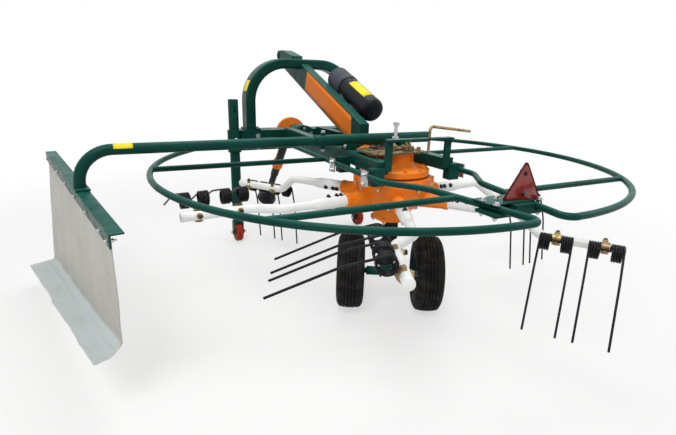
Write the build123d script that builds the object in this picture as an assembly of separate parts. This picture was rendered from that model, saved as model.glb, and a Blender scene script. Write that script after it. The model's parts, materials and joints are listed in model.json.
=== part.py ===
"""Single-rotor hay rake for a tractor's three-point hitch.

Frame: +X to the machine's right, +Y forward towards the tractor, +Z up. Every piece is
drawn about the rotor's axis, with the ground at Z = 0, and the whole machine is moved at
the end so that its origin is the middle of its footprint.
"""

from build123d import *
from math import atan, cos, degrees, radians, sin
import os

# ---------------------------------------------------------------- driving dimensions (mm)
TYRE_DIA = 410.0            # 16x6.50-8 implement tyre
TYRE_WIDTH = 145.0
WHEEL_TRACK = 412.0
AXLE_TRAIL = 42.0           # axle centre behind the swivel axis
CARRIAGE_YAW = -29.0        # degrees, as parked

GUARD_Z = 781.0             # centre height of the guard's tubes
GUARD_RADIUS = 1056.0       # outer bow of one guard half
GUARD_BOW_X = 114.0         # bow centre, left and right of the middle
GUARD_BOW_Y = 77.0
GUARD_TUBE = 26.9
RAIL_X = 265.0              # straight inner rail
RAIL_BEND_Y = -300.0        # where the rail turns in towards the rear plate
RAIL_KNEE = (150.0, -470.0)
RAIL_TAIL = (58.0, -979.0)
SPOKE_Y = (285.0, -630.0)

HEAD_Y = 1280.0             # plane of the headstock
ARCH_HALF = 397.0
ARCH_TOP_Z = 1288.0
ARCH_BEND = 264.0
ARCH_SECTION = (68.0, 140.0)  # radial, fore-and-aft
CROSSBEAM_Z = (690.0, 830.0)
CROSSBEAM_DEPTH = 144.0
CROSSBEAM_HALF = 476.0
FRAME_FRONT_Y = 1230.0      # rear face of arch and hitch beam
TOP_LINK_Y = 1682.0
TOP_LINK_Z = 1355.0
HITCH_HALF = 341.5          # Category 1 spread, between the pins' shoulders
HITCH_Y = 1455.0
HITCH_Z = 735.0             # 620 below the top-link pin
STAND_X = 515.0
STAND_TUBE = 70.0
STAND_TOP_Z = 1040.0
CASTOR_DIA = 140.0
CASTOR_WIDTH = 50.0

BEAM = 60.0                 # square tube of the A-frame
BEAM_Z = 785.0              # underside
BEAM_KEEL = (745.0, 300.0)  # underside and rear end of the deeper front stretch
BEAM_FRONT_X = 125.0
BEAM_REAR_X = 190.0
BEAM_REAR_Y = -190.0
STRUT_FALL = 0.368          # fall of the strut per unit of length towards the rear
STRUT_SECTION = (60.0, 150.0)
STRUT_TOP_Z = 1215.0        # centre line 40 mm behind the headstock plane
STRUT_FOOT_Y = 330.0
STRUT_NOSE_Y = 1600.0
STRUT_SHOULDER = (1365.0, 1337.0)   # where its top goes over into the gentler nose
STRUT_NOSE_TOP_Z = 1384.0
WEB_FRONT_Y = 560.0
PORTAL_Z = 950.0
PORTAL_Y = -203.0           # middle of the bridge
PORTAL_X = (151.0, 187.0)
LATCH_X = 50.0
LATCH_ROD = 14.0
BLOCK_YS = (154.0, -182.0)  # guard clamp blocks along the rails
BLOCK_HALF = 25.0

INPUT_Z = 768.0             # height of the input shaft
INPUT_TUBE = 76.0
COVER_RADIUS = 178.0
COVER_Z = (745.0, 785.0)
NECK_RADIUS = 94.0
NECK_TOP_Z = 858.0
COLUMN_DIA = 80.0
COLUMN_FOOT_Z = 380.0
PIVOT_DIA = 50.0
PIVOT_FOOT_Z = 254.0

ARM_COUNT = 6
ARM_FIRST = 25.0            # azimuth of arm 1, clockwise from straight ahead
ARM_Z = 630.0
ARM_ROLLS = (15.0, 28.0, 50.0, 85.0, 85.0, 25.0)   # each arm's turn about its own axis
SOCKET_END = 300.0
ARM_TUBE = 42.4
ARM_CRANK = 100.0
ARM_CRANK_START = 630.0
ARM_CRANK_END = 742.0
ARM_END = 1065.0
CLAMP_RADII = (806.0, 990.0)
CLAMP_OUTER = 29.0
COIL_HALF_PITCH = 40.0
COIL_OUTER = 75.0
COIL_LENGTH = 48.0
TINE_WIRE = 9.5

SLEEVE_Y = 197.0            # cross tube that holds the curtain arm
SLEEVE_Z = 895.0
SLEEVE_X = (-370.0, 345.0)
SLEEVE_TUBE = 60.3
CURTAIN_TUBE = 48.3
CURTAIN_INNER_X = 300.0
CURTAIN_BAR_NEAR = (-1318.0, -381.0, 710.0)
CURTAIN_BAR_FAR = (-1608.0, 1009.0, 774.0)
CURTAIN_ANGLE = 50.0
CURTAIN_BEND = 138.0

PTO_HINGE_Y = 1570.0
PTO_SLOPE = 49.0            # degrees below level, as it hangs
PTO_LENGTH = 936.0
PTO_BELL_RADIUS = 90.0

RUNNING_FIT = 0.1           # radial clearance of parts that turn or slide on each other


STRUT_SLOPE = degrees(atan(STRUT_FALL))


# ---------------------------------------------------------------- small helpers
def bar(start, end, radius):
    """Round bar from start to end."""
    start, end = Vector(*start), Vector(*end)
    run = end - start
    return Plane(origin=start, z_dir=run) * Cylinder(radius, run.length, align=BASE)


def block(x, y, z):
    """Box between two limits on each axis."""
    size = (x[1] - x[0], y[1] - y[0], z[1] - z[0])
    middle = ((x[0] + x[1]) / 2, (y[0] + y[1]) / 2, (z[0] + z[1]) / 2)
    return Pos(*middle) * Box(*size)


def bent_tube(points, radii, diameter):
    """Round tube along straight runs joined by arcs."""
    path = FilletPolyline(*points, radius=radii)
    return sweep(Plane(origin=path @ 0, z_dir=path % 0) * Circle(diameter / 2), path=path)


def turned(profile):
    """Solid of revolution about Z from (radius, height) corners."""
    corners = [(radius, 0, height) for radius, height in profile]
    return revolve(make_face(Polyline(*corners, close=True)), Axis.Z)


def lying(profile):
    """Solid of revolution about X from (radius, x) corners."""
    return Rot(0, 90, 0) * turned(profile)


def mirrored(solid):
    """The same piece on the machine's other side."""
    return mirror(solid, about=Plane.YZ)


def both(solid):
    """A piece and its mirror image, not joined."""
    return Compound(children=[solid, mirrored(solid)])


BASE = (Align.CENTER, Align.CENTER, Align.MIN)


# ---------------------------------------------------------------- headstock
def headstock_arch():
    """Bent box-section arch with its two foot plates."""
    foot = 12.0
    low = CROSSBEAM_Z[1] + foot
    y = FRAME_FRONT_Y + 2 + ARCH_SECTION[1] / 2
    corners = [(-ARCH_HALF, y, low), (-ARCH_HALF, y, ARCH_TOP_Z),
               (ARCH_HALF, y, ARCH_TOP_Z), (ARCH_HALF, y, low)]
    path = FilletPolyline(*corners, radius=ARCH_BEND)
    section = Plane(origin=path @ 0, x_dir=(1, 0, 0), z_dir=(0, 0, 1)) * RectangleRounded(
        *ARCH_SECTION, 18)
    arch = sweep(section, path=path)
    plate = block((-ARCH_HALF - 44, -ARCH_HALF + 62),
                  (FRAME_FRONT_Y, FRAME_FRONT_Y + CROSSBEAM_DEPTH), (CROSSBEAM_Z[1], low))
    return arch + plate + mirrored(plate)


def top_link_bracket():
    """Cheeks beside the strut's nose, bored for the top-link pin, under a folded cover."""
    plate, radius = 9.0, 36.0
    inner = STRUT_SECTION[0] / 2
    outer = inner + plate
    top = STRUT_NOSE_TOP_Z + 8
    front_y = FRAME_FRONT_Y + 2 + ARCH_SECTION[1]
    shoulder_y, shoulder_z = STRUT_SHOULDER
    side = [(front_y, shoulder_z - 60), (front_y, shoulder_z + 8), (STRUT_NOSE_Y - 8, top),
            (TOP_LINK_Y, top), (TOP_LINK_Y, TOP_LINK_Z - radius), (STRUT_NOSE_Y, TOP_LINK_Z - 60)]
    face = make_face(Polyline(*[(0, y, z) for y, z in side], close=True))
    cheek = Pos(inner, 0, 0) * extrude(face, plate, dir=(1, 0, 0))
    cheek += bar((inner, TOP_LINK_Y, TOP_LINK_Z), (outer, TOP_LINK_Y, TOP_LINK_Z), radius)
    cover = [(shoulder_y, shoulder_z), (shoulder_y, shoulder_z + 8), (STRUT_NOSE_Y - 8, top),
             (TOP_LINK_Y - 20, top), (TOP_LINK_Y - 20, top - 8), (STRUT_NOSE_Y - 8, top - 8)]
    face = make_face(Polyline(*[(0, y, z) for y, z in cover], close=True))
    bracket = cheek + mirrored(cheek) + Pos(-outer, 0, 0) * extrude(face, 2 * outer, dir=(1, 0, 0))
    return bracket - bar((-60, TOP_LINK_Y, TOP_LINK_Z), (60, TOP_LINK_Y, TOP_LINK_Z), 9.75)


def crossbeam():
    """Hitch beam, shaft boss, stand sockets and lower hitch plates."""
    rear, front = FRAME_FRONT_Y, FRAME_FRONT_Y + CROSSBEAM_DEPTH
    beam = block((-CROSSBEAM_HALF, CROSSBEAM_HALF), (rear, front), CROSSBEAM_Z)
    beam += bar((0, rear - 6, INPUT_Z), (0, front + 6, INPUT_Z), 88)
    beam -= bar((0, rear - 30, INPUT_Z), (0, front + 30, INPUT_Z), INPUT_TUBE / 2)
    socket = Pos(STAND_X, HEAD_Y, CROSSBEAM_Z[0] - 15) * Cylinder(47, 155, align=BASE)
    plate = block((312, 328), (front, HITCH_Y + 36), (HITCH_Z - 40, HITCH_Z + 56))
    plate = fillet(plate.edges().filter_by(Axis.X).sort_by(Axis.Y)[-2:], 34)
    beam += socket + plate + mirrored(socket) + mirrored(plate)
    bore = Pos(STAND_X, HEAD_Y, 600) * Cylinder(STAND_TUBE / 2 + RUNNING_FIT, 300, align=BASE)
    return beam - bore - mirrored(bore)


def lower_hitch_pins():
    """Category 1 pins with a collar, cross-drilled for a linch pin."""
    y, z = HITCH_Y, HITCH_Z
    pin = bar((328, y, z), (HITCH_HALF + 98, y, z), 11) + bar((328, y, z), (HITCH_HALF, y, z), 22)
    hole_x = HITCH_HALF + 84
    return both(pin - bar((hole_x, y, z - 20), (hole_x, y, z + 20), 5.5))


def stand_tube(x):
    """Parking-stand tube, open at the top, with its peg hole."""
    tube = Pos(x, HEAD_Y, CASTOR_DIA + 12) * Cylinder(
        STAND_TUBE / 2, STAND_TOP_Z - CASTOR_DIA - 12, align=BASE)
    tube -= Pos(x, HEAD_Y, CASTOR_DIA + 20) * Cylinder(STAND_TUBE / 2 - 5, 1000, align=BASE)
    return tube - bar((x, HEAD_Y - 50, 960), (x, HEAD_Y + 50, 960), 8)


def castor_fork(x):
    """Stirrup under the stand tube, with its axle bolt."""
    cheek = block((CASTOR_WIDTH / 2 + 6, CASTOR_WIDTH / 2 + 12), (-28, 28),
                  (CASTOR_DIA / 2, CASTOR_DIA + 4))
    cheek += bar((CASTOR_WIDTH / 2 + 6, 0, CASTOR_DIA / 2), (CASTOR_WIDTH / 2 + 12, 0, CASTOR_DIA / 2), 28)
    fork = cheek + mirrored(cheek)
    fork += block((-CASTOR_WIDTH / 2 - 12, CASTOR_WIDTH / 2 + 12), (-32, 32),
                  (CASTOR_DIA + 4, CASTOR_DIA + 12))
    fork += bar((-46, 0, CASTOR_DIA / 2), (46, 0, CASTOR_DIA / 2), 8)
    fork += bar((37, 0, CASTOR_DIA / 2), (46, 0, CASTOR_DIA / 2), 13)
    return Pos(x, HEAD_Y, 0) * fork


def castor_wheel(x):
    """Solid castor wheel with a crowned tread and a proud boss."""
    radius, half, hub = CASTOR_DIA / 2, CASTOR_WIDTH / 2, 8 + RUNNING_FIT
    profile = [(hub, -half), (20, -half), (22, -half + 6), (radius - 16, -half + 6),
               (radius - 8, -half), (radius, -half + 10), (radius, half - 10), (radius - 8, half),
               (radius - 16, half - 6), (22, half - 6), (20, half), (hub, half)]
    return Pos(x, HEAD_Y, radius) * lying(profile)


# ---------------------------------------------------------------- frame
def beam_x(y):
    """Distance of a main beam's centre line from the middle, at y."""
    share = (FRAME_FRONT_Y - y) / (FRAME_FRONT_Y - BEAM_REAR_Y)
    return BEAM_FRONT_X + share * (BEAM_REAR_X - BEAM_FRONT_X)


def main_beam():
    """Right-hand square tube of the A-frame, from the hitch beam to the portal."""
    top = BEAM_Z + BEAM
    keel_z, keel_y = BEAM_KEEL
    beam = beam_stretch(BEAM_REAR_Y, (BEAM_Z, top)) + beam_stretch(keel_y, (keel_z, top))
    return beam - bar((0, HEAD_Y - 60, INPUT_Z), (0, HEAD_Y, INPUT_Z), 88)


def beam_stretch(rear_y, z):
    """Right-hand beam from the hitch beam back to rear_y, over a height range."""
    front_y, half = FRAME_FRONT_Y, BEAM / 2
    outline = [(beam_x(front_y) + half, front_y, 0), (beam_x(front_y) - half, front_y, 0),
               (beam_x(rear_y) - half, rear_y, 0), (beam_x(rear_y) + half, rear_y, 0)]
    face = make_face(Polyline(*outline, close=True))
    return Pos(0, 0, z[0]) * extrude(face, z[1] - z[0], dir=(0, 0, 1))


def top_plate():
    """Web plate that ties the beams under the strut's foot."""
    rear_y, front_y, reach = STRUT_FOOT_Y, WEB_FRONT_Y, 30.0
    outline = [(-beam_x(front_y) - reach, front_y, 0), (beam_x(front_y) + reach, front_y, 0),
               (beam_x(rear_y) + reach, rear_y, 0), (-beam_x(rear_y) - reach, rear_y, 0)]
    return Pos(0, 0, BEAM_Z + BEAM) * extrude(make_face(Polyline(*outline, close=True)), 8,
                                              dir=(0, 0, 1))


def guard_block(y):
    """Right-hand block against which the guard's rail is clamped."""
    return block((190, RAIL_X - GUARD_TUBE / 2), (y - BLOCK_HALF, y + BLOCK_HALF),
                 (BEAM_Z - 50, BEAM_Z + 32))


def portal():
    """Inverted U of flat bar across the beams' rear ends."""
    rear = BEAM_REAR_Y - 14
    upright = block(PORTAL_X, (rear, BEAM_REAR_Y), (BEAM_Z + 15, PORTAL_Z))
    bridge = block((-PORTAL_X[1], PORTAL_X[1]), (PORTAL_Y - 20, PORTAL_Y + 20),
                   (PORTAL_Z - 10, PORTAL_Z))
    whole = upright + mirrored(upright) + bridge
    return whole - Pos(LATCH_X, PORTAL_Y, PORTAL_Z - 20) * Cylinder(LATCH_ROD / 2, 40, align=BASE)


def strut():
    """Box strut from its foot on the web plate through the arch to the top-link nose."""
    width, height = STRUT_SECTION
    half = height / 2 / cos(radians(STRUT_SLOPE))
    base_z = BEAM_Z + BEAM + 8

    def middle(y):
        return STRUT_TOP_Z - (HEAD_Y - 40 - y) * STRUT_FALL

    toe_y = HEAD_Y - 40 - (STRUT_TOP_Z - half - base_z) / STRUT_FALL
    outline = [(STRUT_FOOT_Y, base_z), (STRUT_FOOT_Y, middle(STRUT_FOOT_Y) + half),
               (STRUT_SHOULDER[0], STRUT_SHOULDER[1]), (STRUT_NOSE_Y, STRUT_NOSE_TOP_Z),
               (STRUT_NOSE_Y, middle(STRUT_NOSE_Y) - half), (toe_y, base_z)]
    face = make_face(Polyline(*[(0, y, z) for y, z in outline], close=True))
    solid = Pos(-width / 2, 0, 0) * extrude(face, width, dir=(1, 0, 0))
    radial, depth = ARCH_SECTION
    rear = FRAME_FRONT_Y + 2
    low = ARCH_TOP_Z - radial / 2
    solid -= block((-60, 60), (rear, rear + depth), (low, low + radial))
    return solid - block((-60, 60), (rear, rear + depth - 25), (low, 1500))


def main_beams():
    """Both beams, with the welded blocks against which the guard's rails are clamped."""
    return both(main_beam() + guard_block(BLOCK_YS[0]) + guard_block(BLOCK_YS[1]))


def guard_clamp_plates():
    """Galvanised cap plates outboard of the rails."""
    inner = RAIL_X + GUARD_TUBE / 2
    plates = [block((inner, inner + 8), (y - BLOCK_HALF, y + BLOCK_HALF), (BEAM_Z - 45, BEAM_Z + 25))
              for y in BLOCK_YS]
    return Compound(children=[p for side in plates for p in (side, mirrored(side))])


def guard_half():
    """Right-hand guard half: outer bow, inner rail with its rear knee, and two spokes."""
    bow_front = 12.0       # degrees from straight ahead where the bow meets the front corner
    start = (GUARD_BOW_X + GUARD_RADIUS * sin(radians(bow_front)),
             GUARD_BOW_Y + GUARD_RADIUS * cos(radians(bow_front)))
    lead = (start[1] - GUARD_BOW_Y) / (start[0] - GUARD_BOW_X)
    corner_y = start[1] + (start[0] - RAIL_X) / lead
    end = (GUARD_BOW_X, GUARD_BOW_Y - GUARD_RADIUS)
    runs = FilletPolyline((end[0], end[1], GUARD_Z), (*RAIL_TAIL, GUARD_Z), (*RAIL_KNEE, GUARD_Z),
                          (RAIL_X, RAIL_BEND_Y, GUARD_Z), (RAIL_X, corner_y, GUARD_Z),
                          (start[0], start[1], GUARD_Z), radius=(42, 120, 120, 52))
    bow = ThreePointArc((*start, GUARD_Z), (GUARD_BOW_X + GUARD_RADIUS, GUARD_BOW_Y, GUARD_Z),
                        (*end, GUARD_Z))
    tube = Circle(GUARD_TUBE / 2)
    half = sweep(Plane(origin=runs @ 0, z_dir=runs % 0) * tube, path=runs)
    half += sweep(Plane(origin=bow @ 0, z_dir=bow % 0) * tube, path=bow)
    for y in SPOKE_Y:
        outer_x = GUARD_BOW_X + (GUARD_RADIUS ** 2 - (y - GUARD_BOW_Y) ** 2) ** 0.5
        inner_x = RAIL_X
        if y < RAIL_KNEE[1]:
            share = (RAIL_KNEE[1] - y) / (RAIL_KNEE[1] - RAIL_TAIL[1])
            inner_x = RAIL_KNEE[0] + share * (RAIL_TAIL[0] - RAIL_KNEE[0])
        half += bar((inner_x, y, GUARD_Z), (outer_x, y, GUARD_Z), GUARD_TUBE / 2 - 0.5)
    return half


def guard_rear_plate():
    """Bracket that ties the two guard halves, with the post for the reflector."""
    tube = GUARD_TUBE / 2
    y = (-835.0, -730.0)
    low = block((-125, 125), y, (GUARD_Z - tube - 12, GUARD_Z - tube))
    web = block((-30, 66), y, (GUARD_Z - tube, GUARD_Z + tube))
    post = Pos(*REFLECTOR_AT, GUARD_Z + tube) * Rot(0, 0, REFLECTOR_YAW) * block(
        (-20, 20), (0, 5), (0, 118))
    return low + web + post


def reflector():
    """Blank triangular reflector with rounded corners."""
    side = REFLECTOR_SIDE
    plate = extrude(fillet(RegularPolygon(side / 3 ** 0.5, 3, rotation=90).vertices(), 8), 4)
    height = side * 3 ** 0.5 / 2
    upright = Rot(90, 0, 0) * plate
    base = GUARD_Z + GUARD_TUBE / 2 + 2
    return Pos(*REFLECTOR_AT, base + height / 3) * Rot(0, 0, REFLECTOR_YAW) * upright


REFLECTOR_AT = (40.0, -788.0)
REFLECTOR_SIDE = 175.0
REFLECTOR_YAW = -8.0


# ---------------------------------------------------------------- gearbox and column
def gearbox_housing():
    """Cast cover with its flange, neck, beam lugs and forward input housing."""
    low, high = COVER_Z
    bore = COLUMN_DIA / 2
    body = turned([(bore, low), (COVER_RADIUS - 6, low), (COVER_RADIUS, low + 6),
                   (COVER_RADIUS, high - 10), (COVER_RADIUS - 12, high - 2),
                   (140, high), (NECK_RADIUS + 14, high + 14), (NECK_RADIUS, high + 26),
                   (NECK_RADIUS, NECK_TOP_Z), (0, NECK_TOP_Z), (0, low + 30), (bore, low + 30)])
    nose = Plane(origin=(0, 60, INPUT_Z + 24), x_dir=(1, 0, 0), z_dir=(0, 1, 0))
    throat = loft(Sketch() + [nose * RectangleRounded(150, 116, 24),
                              nose.offset(230) * RectangleRounded(112, 100, 24)])
    flange = bar((0, 290, INPUT_Z + 14), (0, 312, INPUT_Z + 14), 62)
    body += throat + flange
    for side in (-1, 1):
        body += block((side * 160 - 22, side * 160 + 22), (-36, 36), (high - 12, BEAM_Z))
    body -= block((-300, 300), (60, 340), (500, low))
    body -= bar((0, 300, INPUT_Z), (0, 330, INPUT_Z), INPUT_TUBE / 2)
    return body - main_beam() - mirrored(main_beam())


def input_tube():
    """Shaft tube from the gearbox to the hitch."""
    return bar((0, 312, INPUT_Z), (0, HEAD_Y + 205, INPUT_Z), INPUT_TUBE / 2)


def input_shield():
    """Dished guard round the input shaft."""
    profile = [(0, 0), (70, 0), (120, 12), (122, 20), (122, 44), (112, 44), (106, 26), (60, 14), (0, 14)]
    dish = Plane(origin=(0, HEAD_Y + 205, INPUT_Z), x_dir=(1, 0, 0), z_dir=(0, 1, 0)) * turned(profile)
    return dish


def input_yoke():
    """Fixed yoke of the universal joint."""
    start = HEAD_Y + 219
    stub = bar((0, start, INPUT_Z), (0, PTO_HINGE_Y - 26, INPUT_Z), 22)
    ear = block((24, 34), (PTO_HINGE_Y - 44, PTO_HINGE_Y), (INPUT_Z - 17, INPUT_Z + 17))
    ear += bar((24, PTO_HINGE_Y, INPUT_Z), (34, PTO_HINGE_Y, INPUT_Z), 17)
    back = block((-34, 34), (PTO_HINGE_Y - 46, PTO_HINGE_Y - 36), (INPUT_Z - 17, INPUT_Z + 17))
    return stub + ear + mirrored(ear) + back


def column():
    """Fixed column through the rotor hub, with the swivel pin of the running gear."""
    post = Pos(0, 0, COLUMN_FOOT_Z) * Cylinder(COLUMN_DIA / 2, COVER_Z[0] + 30 - COLUMN_FOOT_Z,
                                               align=BASE)
    post += Pos(0, 0, PIVOT_FOOT_Z) * Cylinder(PIVOT_DIA / 2, COLUMN_FOOT_Z - PIVOT_FOOT_Z,
                                               align=BASE)
    return post + Pos(0, 0, PIVOT_FOOT_Z - 8) * Cylinder(36, 8, align=BASE)


def cam_plate():
    """Cam-setting plate on the gearbox neck."""
    plate = block((-190, 112), (-105, 95), (NECK_TOP_Z, NECK_TOP_Z + 8))
    return fillet(plate.edges().filter_by(Axis.Z), 30)


def grease_block():
    """Grease manifold and its fittings on the cam plate."""
    base = NECK_TOP_Z + 8
    body = block((18, 70), (-60, -28), (base, base + 22))
    for x, y, radius, height in ((34, -44, 9, 34), (56, -44, 7, 30), (92, -70, 10, 20)):
        body += Pos(x, y, base) * Cylinder(radius, height, align=BASE)
    return body


def stop_screw():
    """Lift-stop screw in the portal, with its lock nut."""
    x, y = -BEAM_REAR_X + 48, PORTAL_Y
    screw = Pos(x, y, PORTAL_Z) * Cylinder(8, 62, align=BASE)
    screw += Pos(x, y, PORTAL_Z + 62) * extrude(RegularPolygon(16, 6), 14)
    return screw + Pos(x, y, PORTAL_Z) * extrude(RegularPolygon(16, 6), 12)


def latch_rod():
    """Bent locking rod, standing in a bore of the portal's bridge."""
    y, foot, top = PORTAL_Y, PORTAL_Z - 74, 1004.0
    return bent_tube([(LATCH_X, y, foot), (LATCH_X, y, top), (LATCH_X + 246, y, top - 30)], 18, LATCH_ROD)


def curtain_sleeve():
    """Cross tube for the curtain arm, on two saddles, with its set-screw bosses."""
    tube = bar((SLEEVE_X[0], SLEEVE_Y, SLEEVE_Z), (SLEEVE_X[1], SLEEVE_Y, SLEEVE_Z), SLEEVE_TUBE / 2)
    x = beam_x(SLEEVE_Y)
    saddle = block((x - 28, x + 28), (SLEEVE_Y - 26, SLEEVE_Y + 26), (BEAM_Z + BEAM, SLEEVE_Z))
    boss = Pos(SLEEVE_X[0] + 50, SLEEVE_Y, SLEEVE_Z) * Cylinder(12, SLEEVE_TUBE + 24)
    solid = tube + saddle + mirrored(saddle) + boss
    return solid - bar((SLEEVE_X[0] - 5, SLEEVE_Y, SLEEVE_Z), (SLEEVE_X[1] + 5, SLEEVE_Y, SLEEVE_Z),
                       CURTAIN_TUBE / 2 + RUNNING_FIT)


# ---------------------------------------------------------------- tube for the papers
CANISTER_RADIUS = 78.0
CANISTER_X = 118.0


def on_strut(solid):
    """Place a piece drawn along Z on the canister's axis, Z running down the strut."""
    return Pos(CANISTER_X, 925, 1200) * Rot(90 + STRUT_SLOPE, 0, 0) * solid


def canister_body():
    """Moulded tube with a rounded flat end."""
    radius = CANISTER_RADIUS - 6
    profile = [(0, 150), (radius, 150), (radius, 500), (radius - 4, 512), (radius - 13, 521),
               (radius - 28, 526), (0, 528)]
    return on_strut(turned(profile))


def canister_cap():
    """Screw cap over the upper third."""
    radius = CANISTER_RADIUS
    profile = [(0, 0), (radius - 6, 0), (radius, 6), (radius, 168), (radius - 6, 168),
               (radius - 6, 150), (0, 150)]
    return on_strut(turned(profile))


def canister_cradle():
    """Two half straps that carry the canister on the strut's side."""
    straps = []
    for reach in (240.0, 450.0):
        strap = Pos(0, 0, reach) * Cylinder(CANISTER_RADIUS, 30, align=BASE)
        strap &= block((-CANISTER_RADIUS, 60), (-CANISTER_RADIUS, -20), (reach, reach + 30))
        strap += block((30 - CANISTER_X, -40), (-CANISTER_RADIUS, -45), (reach, reach + 30))
        strap -= Pos(0, 0, reach) * Cylinder(CANISTER_RADIUS - 6, 30, align=BASE)
        straps.append(on_strut(strap))
    return Compound(children=straps)


# ---------------------------------------------------------------- running gear
def on_carriage(solid):
    """Place a piece drawn with its axle along X and the swivel axis as Z."""
    return Rot(0, 0, CARRIAGE_YAW) * solid


def carriage():
    """Swivel collar with the bracket that carries the axle."""
    axle_z = TYRE_DIA / 2
    collar = Pos(0, 0, PIVOT_FOOT_Z + 4) * Cylinder(45, COLUMN_FOOT_Z - PIVOT_FOOT_Z - 6, align=BASE)
    cheek = block((38, 48), (-AXLE_TRAIL - 34, 30), (axle_z - 30, PIVOT_FOOT_Z + 90))
    cheek = fillet(cheek.edges().filter_by(Axis.X).sort_by(Axis.Z)[:2], 24)
    body = collar + cheek + mirrored(cheek)
    body += block((-48, 48), (-AXLE_TRAIL - 34, -AXLE_TRAIL - 26), (axle_z + 20, PIVOT_FOOT_Z + 90))
    body -= Pos(0, 0, PIVOT_FOOT_Z) * Cylinder(PIVOT_DIA / 2 + RUNNING_FIT, 200, align=BASE)
    body -= bar((-60, -AXLE_TRAIL, axle_z), (60, -AXLE_TRAIL, axle_z), 24)
    return on_carriage(body)


def axle():
    """Axle tube with its two stub shafts."""
    y, z = -AXLE_TRAIL, TYRE_DIA / 2
    body = bar((-120, y, z), (120, y, z), 24)
    body += bar((-WHEEL_TRACK / 2 - 60, y, z), (WHEEL_TRACK / 2 + 60, y, z), 15)
    for side in (-1, 1):
        body += bar((side * (WHEEL_TRACK / 2 + 50), y, z), (side * (WHEEL_TRACK / 2 + 60), y, z), 24)
    return on_carriage(body)


def on_wheel(side, solid):
    """Place a piece drawn about X at a wheel's centre."""
    return on_carriage(Pos(side * WHEEL_TRACK / 2, -AXLE_TRAIL, TYRE_DIA / 2) * solid)


def tyre(side):
    """Ribbed implement tyre."""
    radius, half, bead, groove = TYRE_DIA / 2, TYRE_WIDTH / 2, 103.0, 7.0
    profile = [(bead, -half + 12), (bead + 30, -half + 2), (bead + 52, -half), (radius - 27, -half + 4),
               (radius - 11, -half + 14), (radius - 3, -half + 26)]
    for x in (-38.0, -13.0, 13.0, 38.0):
        profile += [(radius, x - 5), (radius - groove, x - 3), (radius - groove, x + 3), (radius, x + 5)]
    profile += [(radius - 3, half - 26), (radius - 11, half - 14), (radius - 27, half - 4),
                (bead + 52, half), (bead + 30, half - 2), (bead, half - 12)]
    return on_wheel(side, lying(profile))


def rim(side):
    """Pressed rim with its disc, hub and lipped edges."""
    bead, half, bore = 103.0, TYRE_WIDTH / 2, 15 + RUNNING_FIT
    profile = [(bore, -44), (30, -44), (30, -8), (84, -8), (92, -50), (bead - 5, -half + 12),
               (bead, -half + 12), (bead, half - 12), (bead - 5, half - 12), (92, 50), (84, 6), (30, 6),
               (30, 44), (bore, 44)]
    return on_wheel(side, lying(profile))


# ---------------------------------------------------------------- rotor
def rotor_hub():
    """Cast hub with six sockets, a bolted top ring and the lower bearing."""
    top = COVER_Z[0] - 7
    bore = COLUMN_DIA / 2 + 0.4
    hub = turned([(bore, 500), (92, 500), (100, 508), (100, 556), (128, 572), (165, 600), (188, 680),
                  (194, 700), (194, top - 4), (190, top), (bore, top)])
    for index in range(ARM_COUNT):
        azimuth = ARM_FIRST + index * 360 / ARM_COUNT
        socket = Pos(110, 0, ARM_Z) * Rot(0, 90, 0) * Cone(47, 33, SOCKET_END - 110, align=BASE)
        socket += Pos(SOCKET_END - 26, 0, ARM_Z) * Rot(0, 90, 0) * Cylinder(34, 26, align=BASE)
        hub += Rot(0, 0, 90 - azimuth) * socket
        lug = Pos(196, 0, 698) * Cylinder(15, 34, align=BASE)
        lug += Pos(96, 0, 500) * Cylinder(15, 20, align=BASE)
        hub += Rot(0, 0, 60 - azimuth) * lug
    return hub


def on_arm(index, solid):
    """Place a piece drawn on an arm: X outward, -Z the crank's side, -Y the trailing side."""
    azimuth = ARM_FIRST + index * 360 / ARM_COUNT
    return Pos(0, 0, ARM_Z) * Rot(0, 0, 90 - azimuth) * Rot(-ARM_ROLLS[index], 0, 0) * solid


def rotor_arm(index):
    """Cranked tine arm: bolted root, taper, double bend and capped end."""
    root = turned([(0, SOCKET_END), (30, SOCKET_END), (30, 440), (ARM_TUBE / 2, 490),
                   (ARM_TUBE / 2, 500), (0, 500)])
    tube = bent_tube([(500, 0, 0), (ARM_CRANK_START, 0, 0), (ARM_CRANK_END, 0, -ARM_CRANK),
                      (ARM_END, 0, -ARM_CRANK)], 70, ARM_TUBE)
    return on_arm(index, Rot(0, 90, 0) * root + tube)


# Tine, across the arm: distance along the crank's side, then to the trailing side.
COIL_AT = (162.0, 60.0)
LOOP_AT = (140.0, 36.0)
LEG_START = (165.0, 92.0)
LEG_KNEE = (300.0, 68.0)
LEG_TIP = (545.0, -20.0)


def across(x, place):
    """Point at x along the arm, from a place across it."""
    return (x, -place[1], -place[0])


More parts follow.
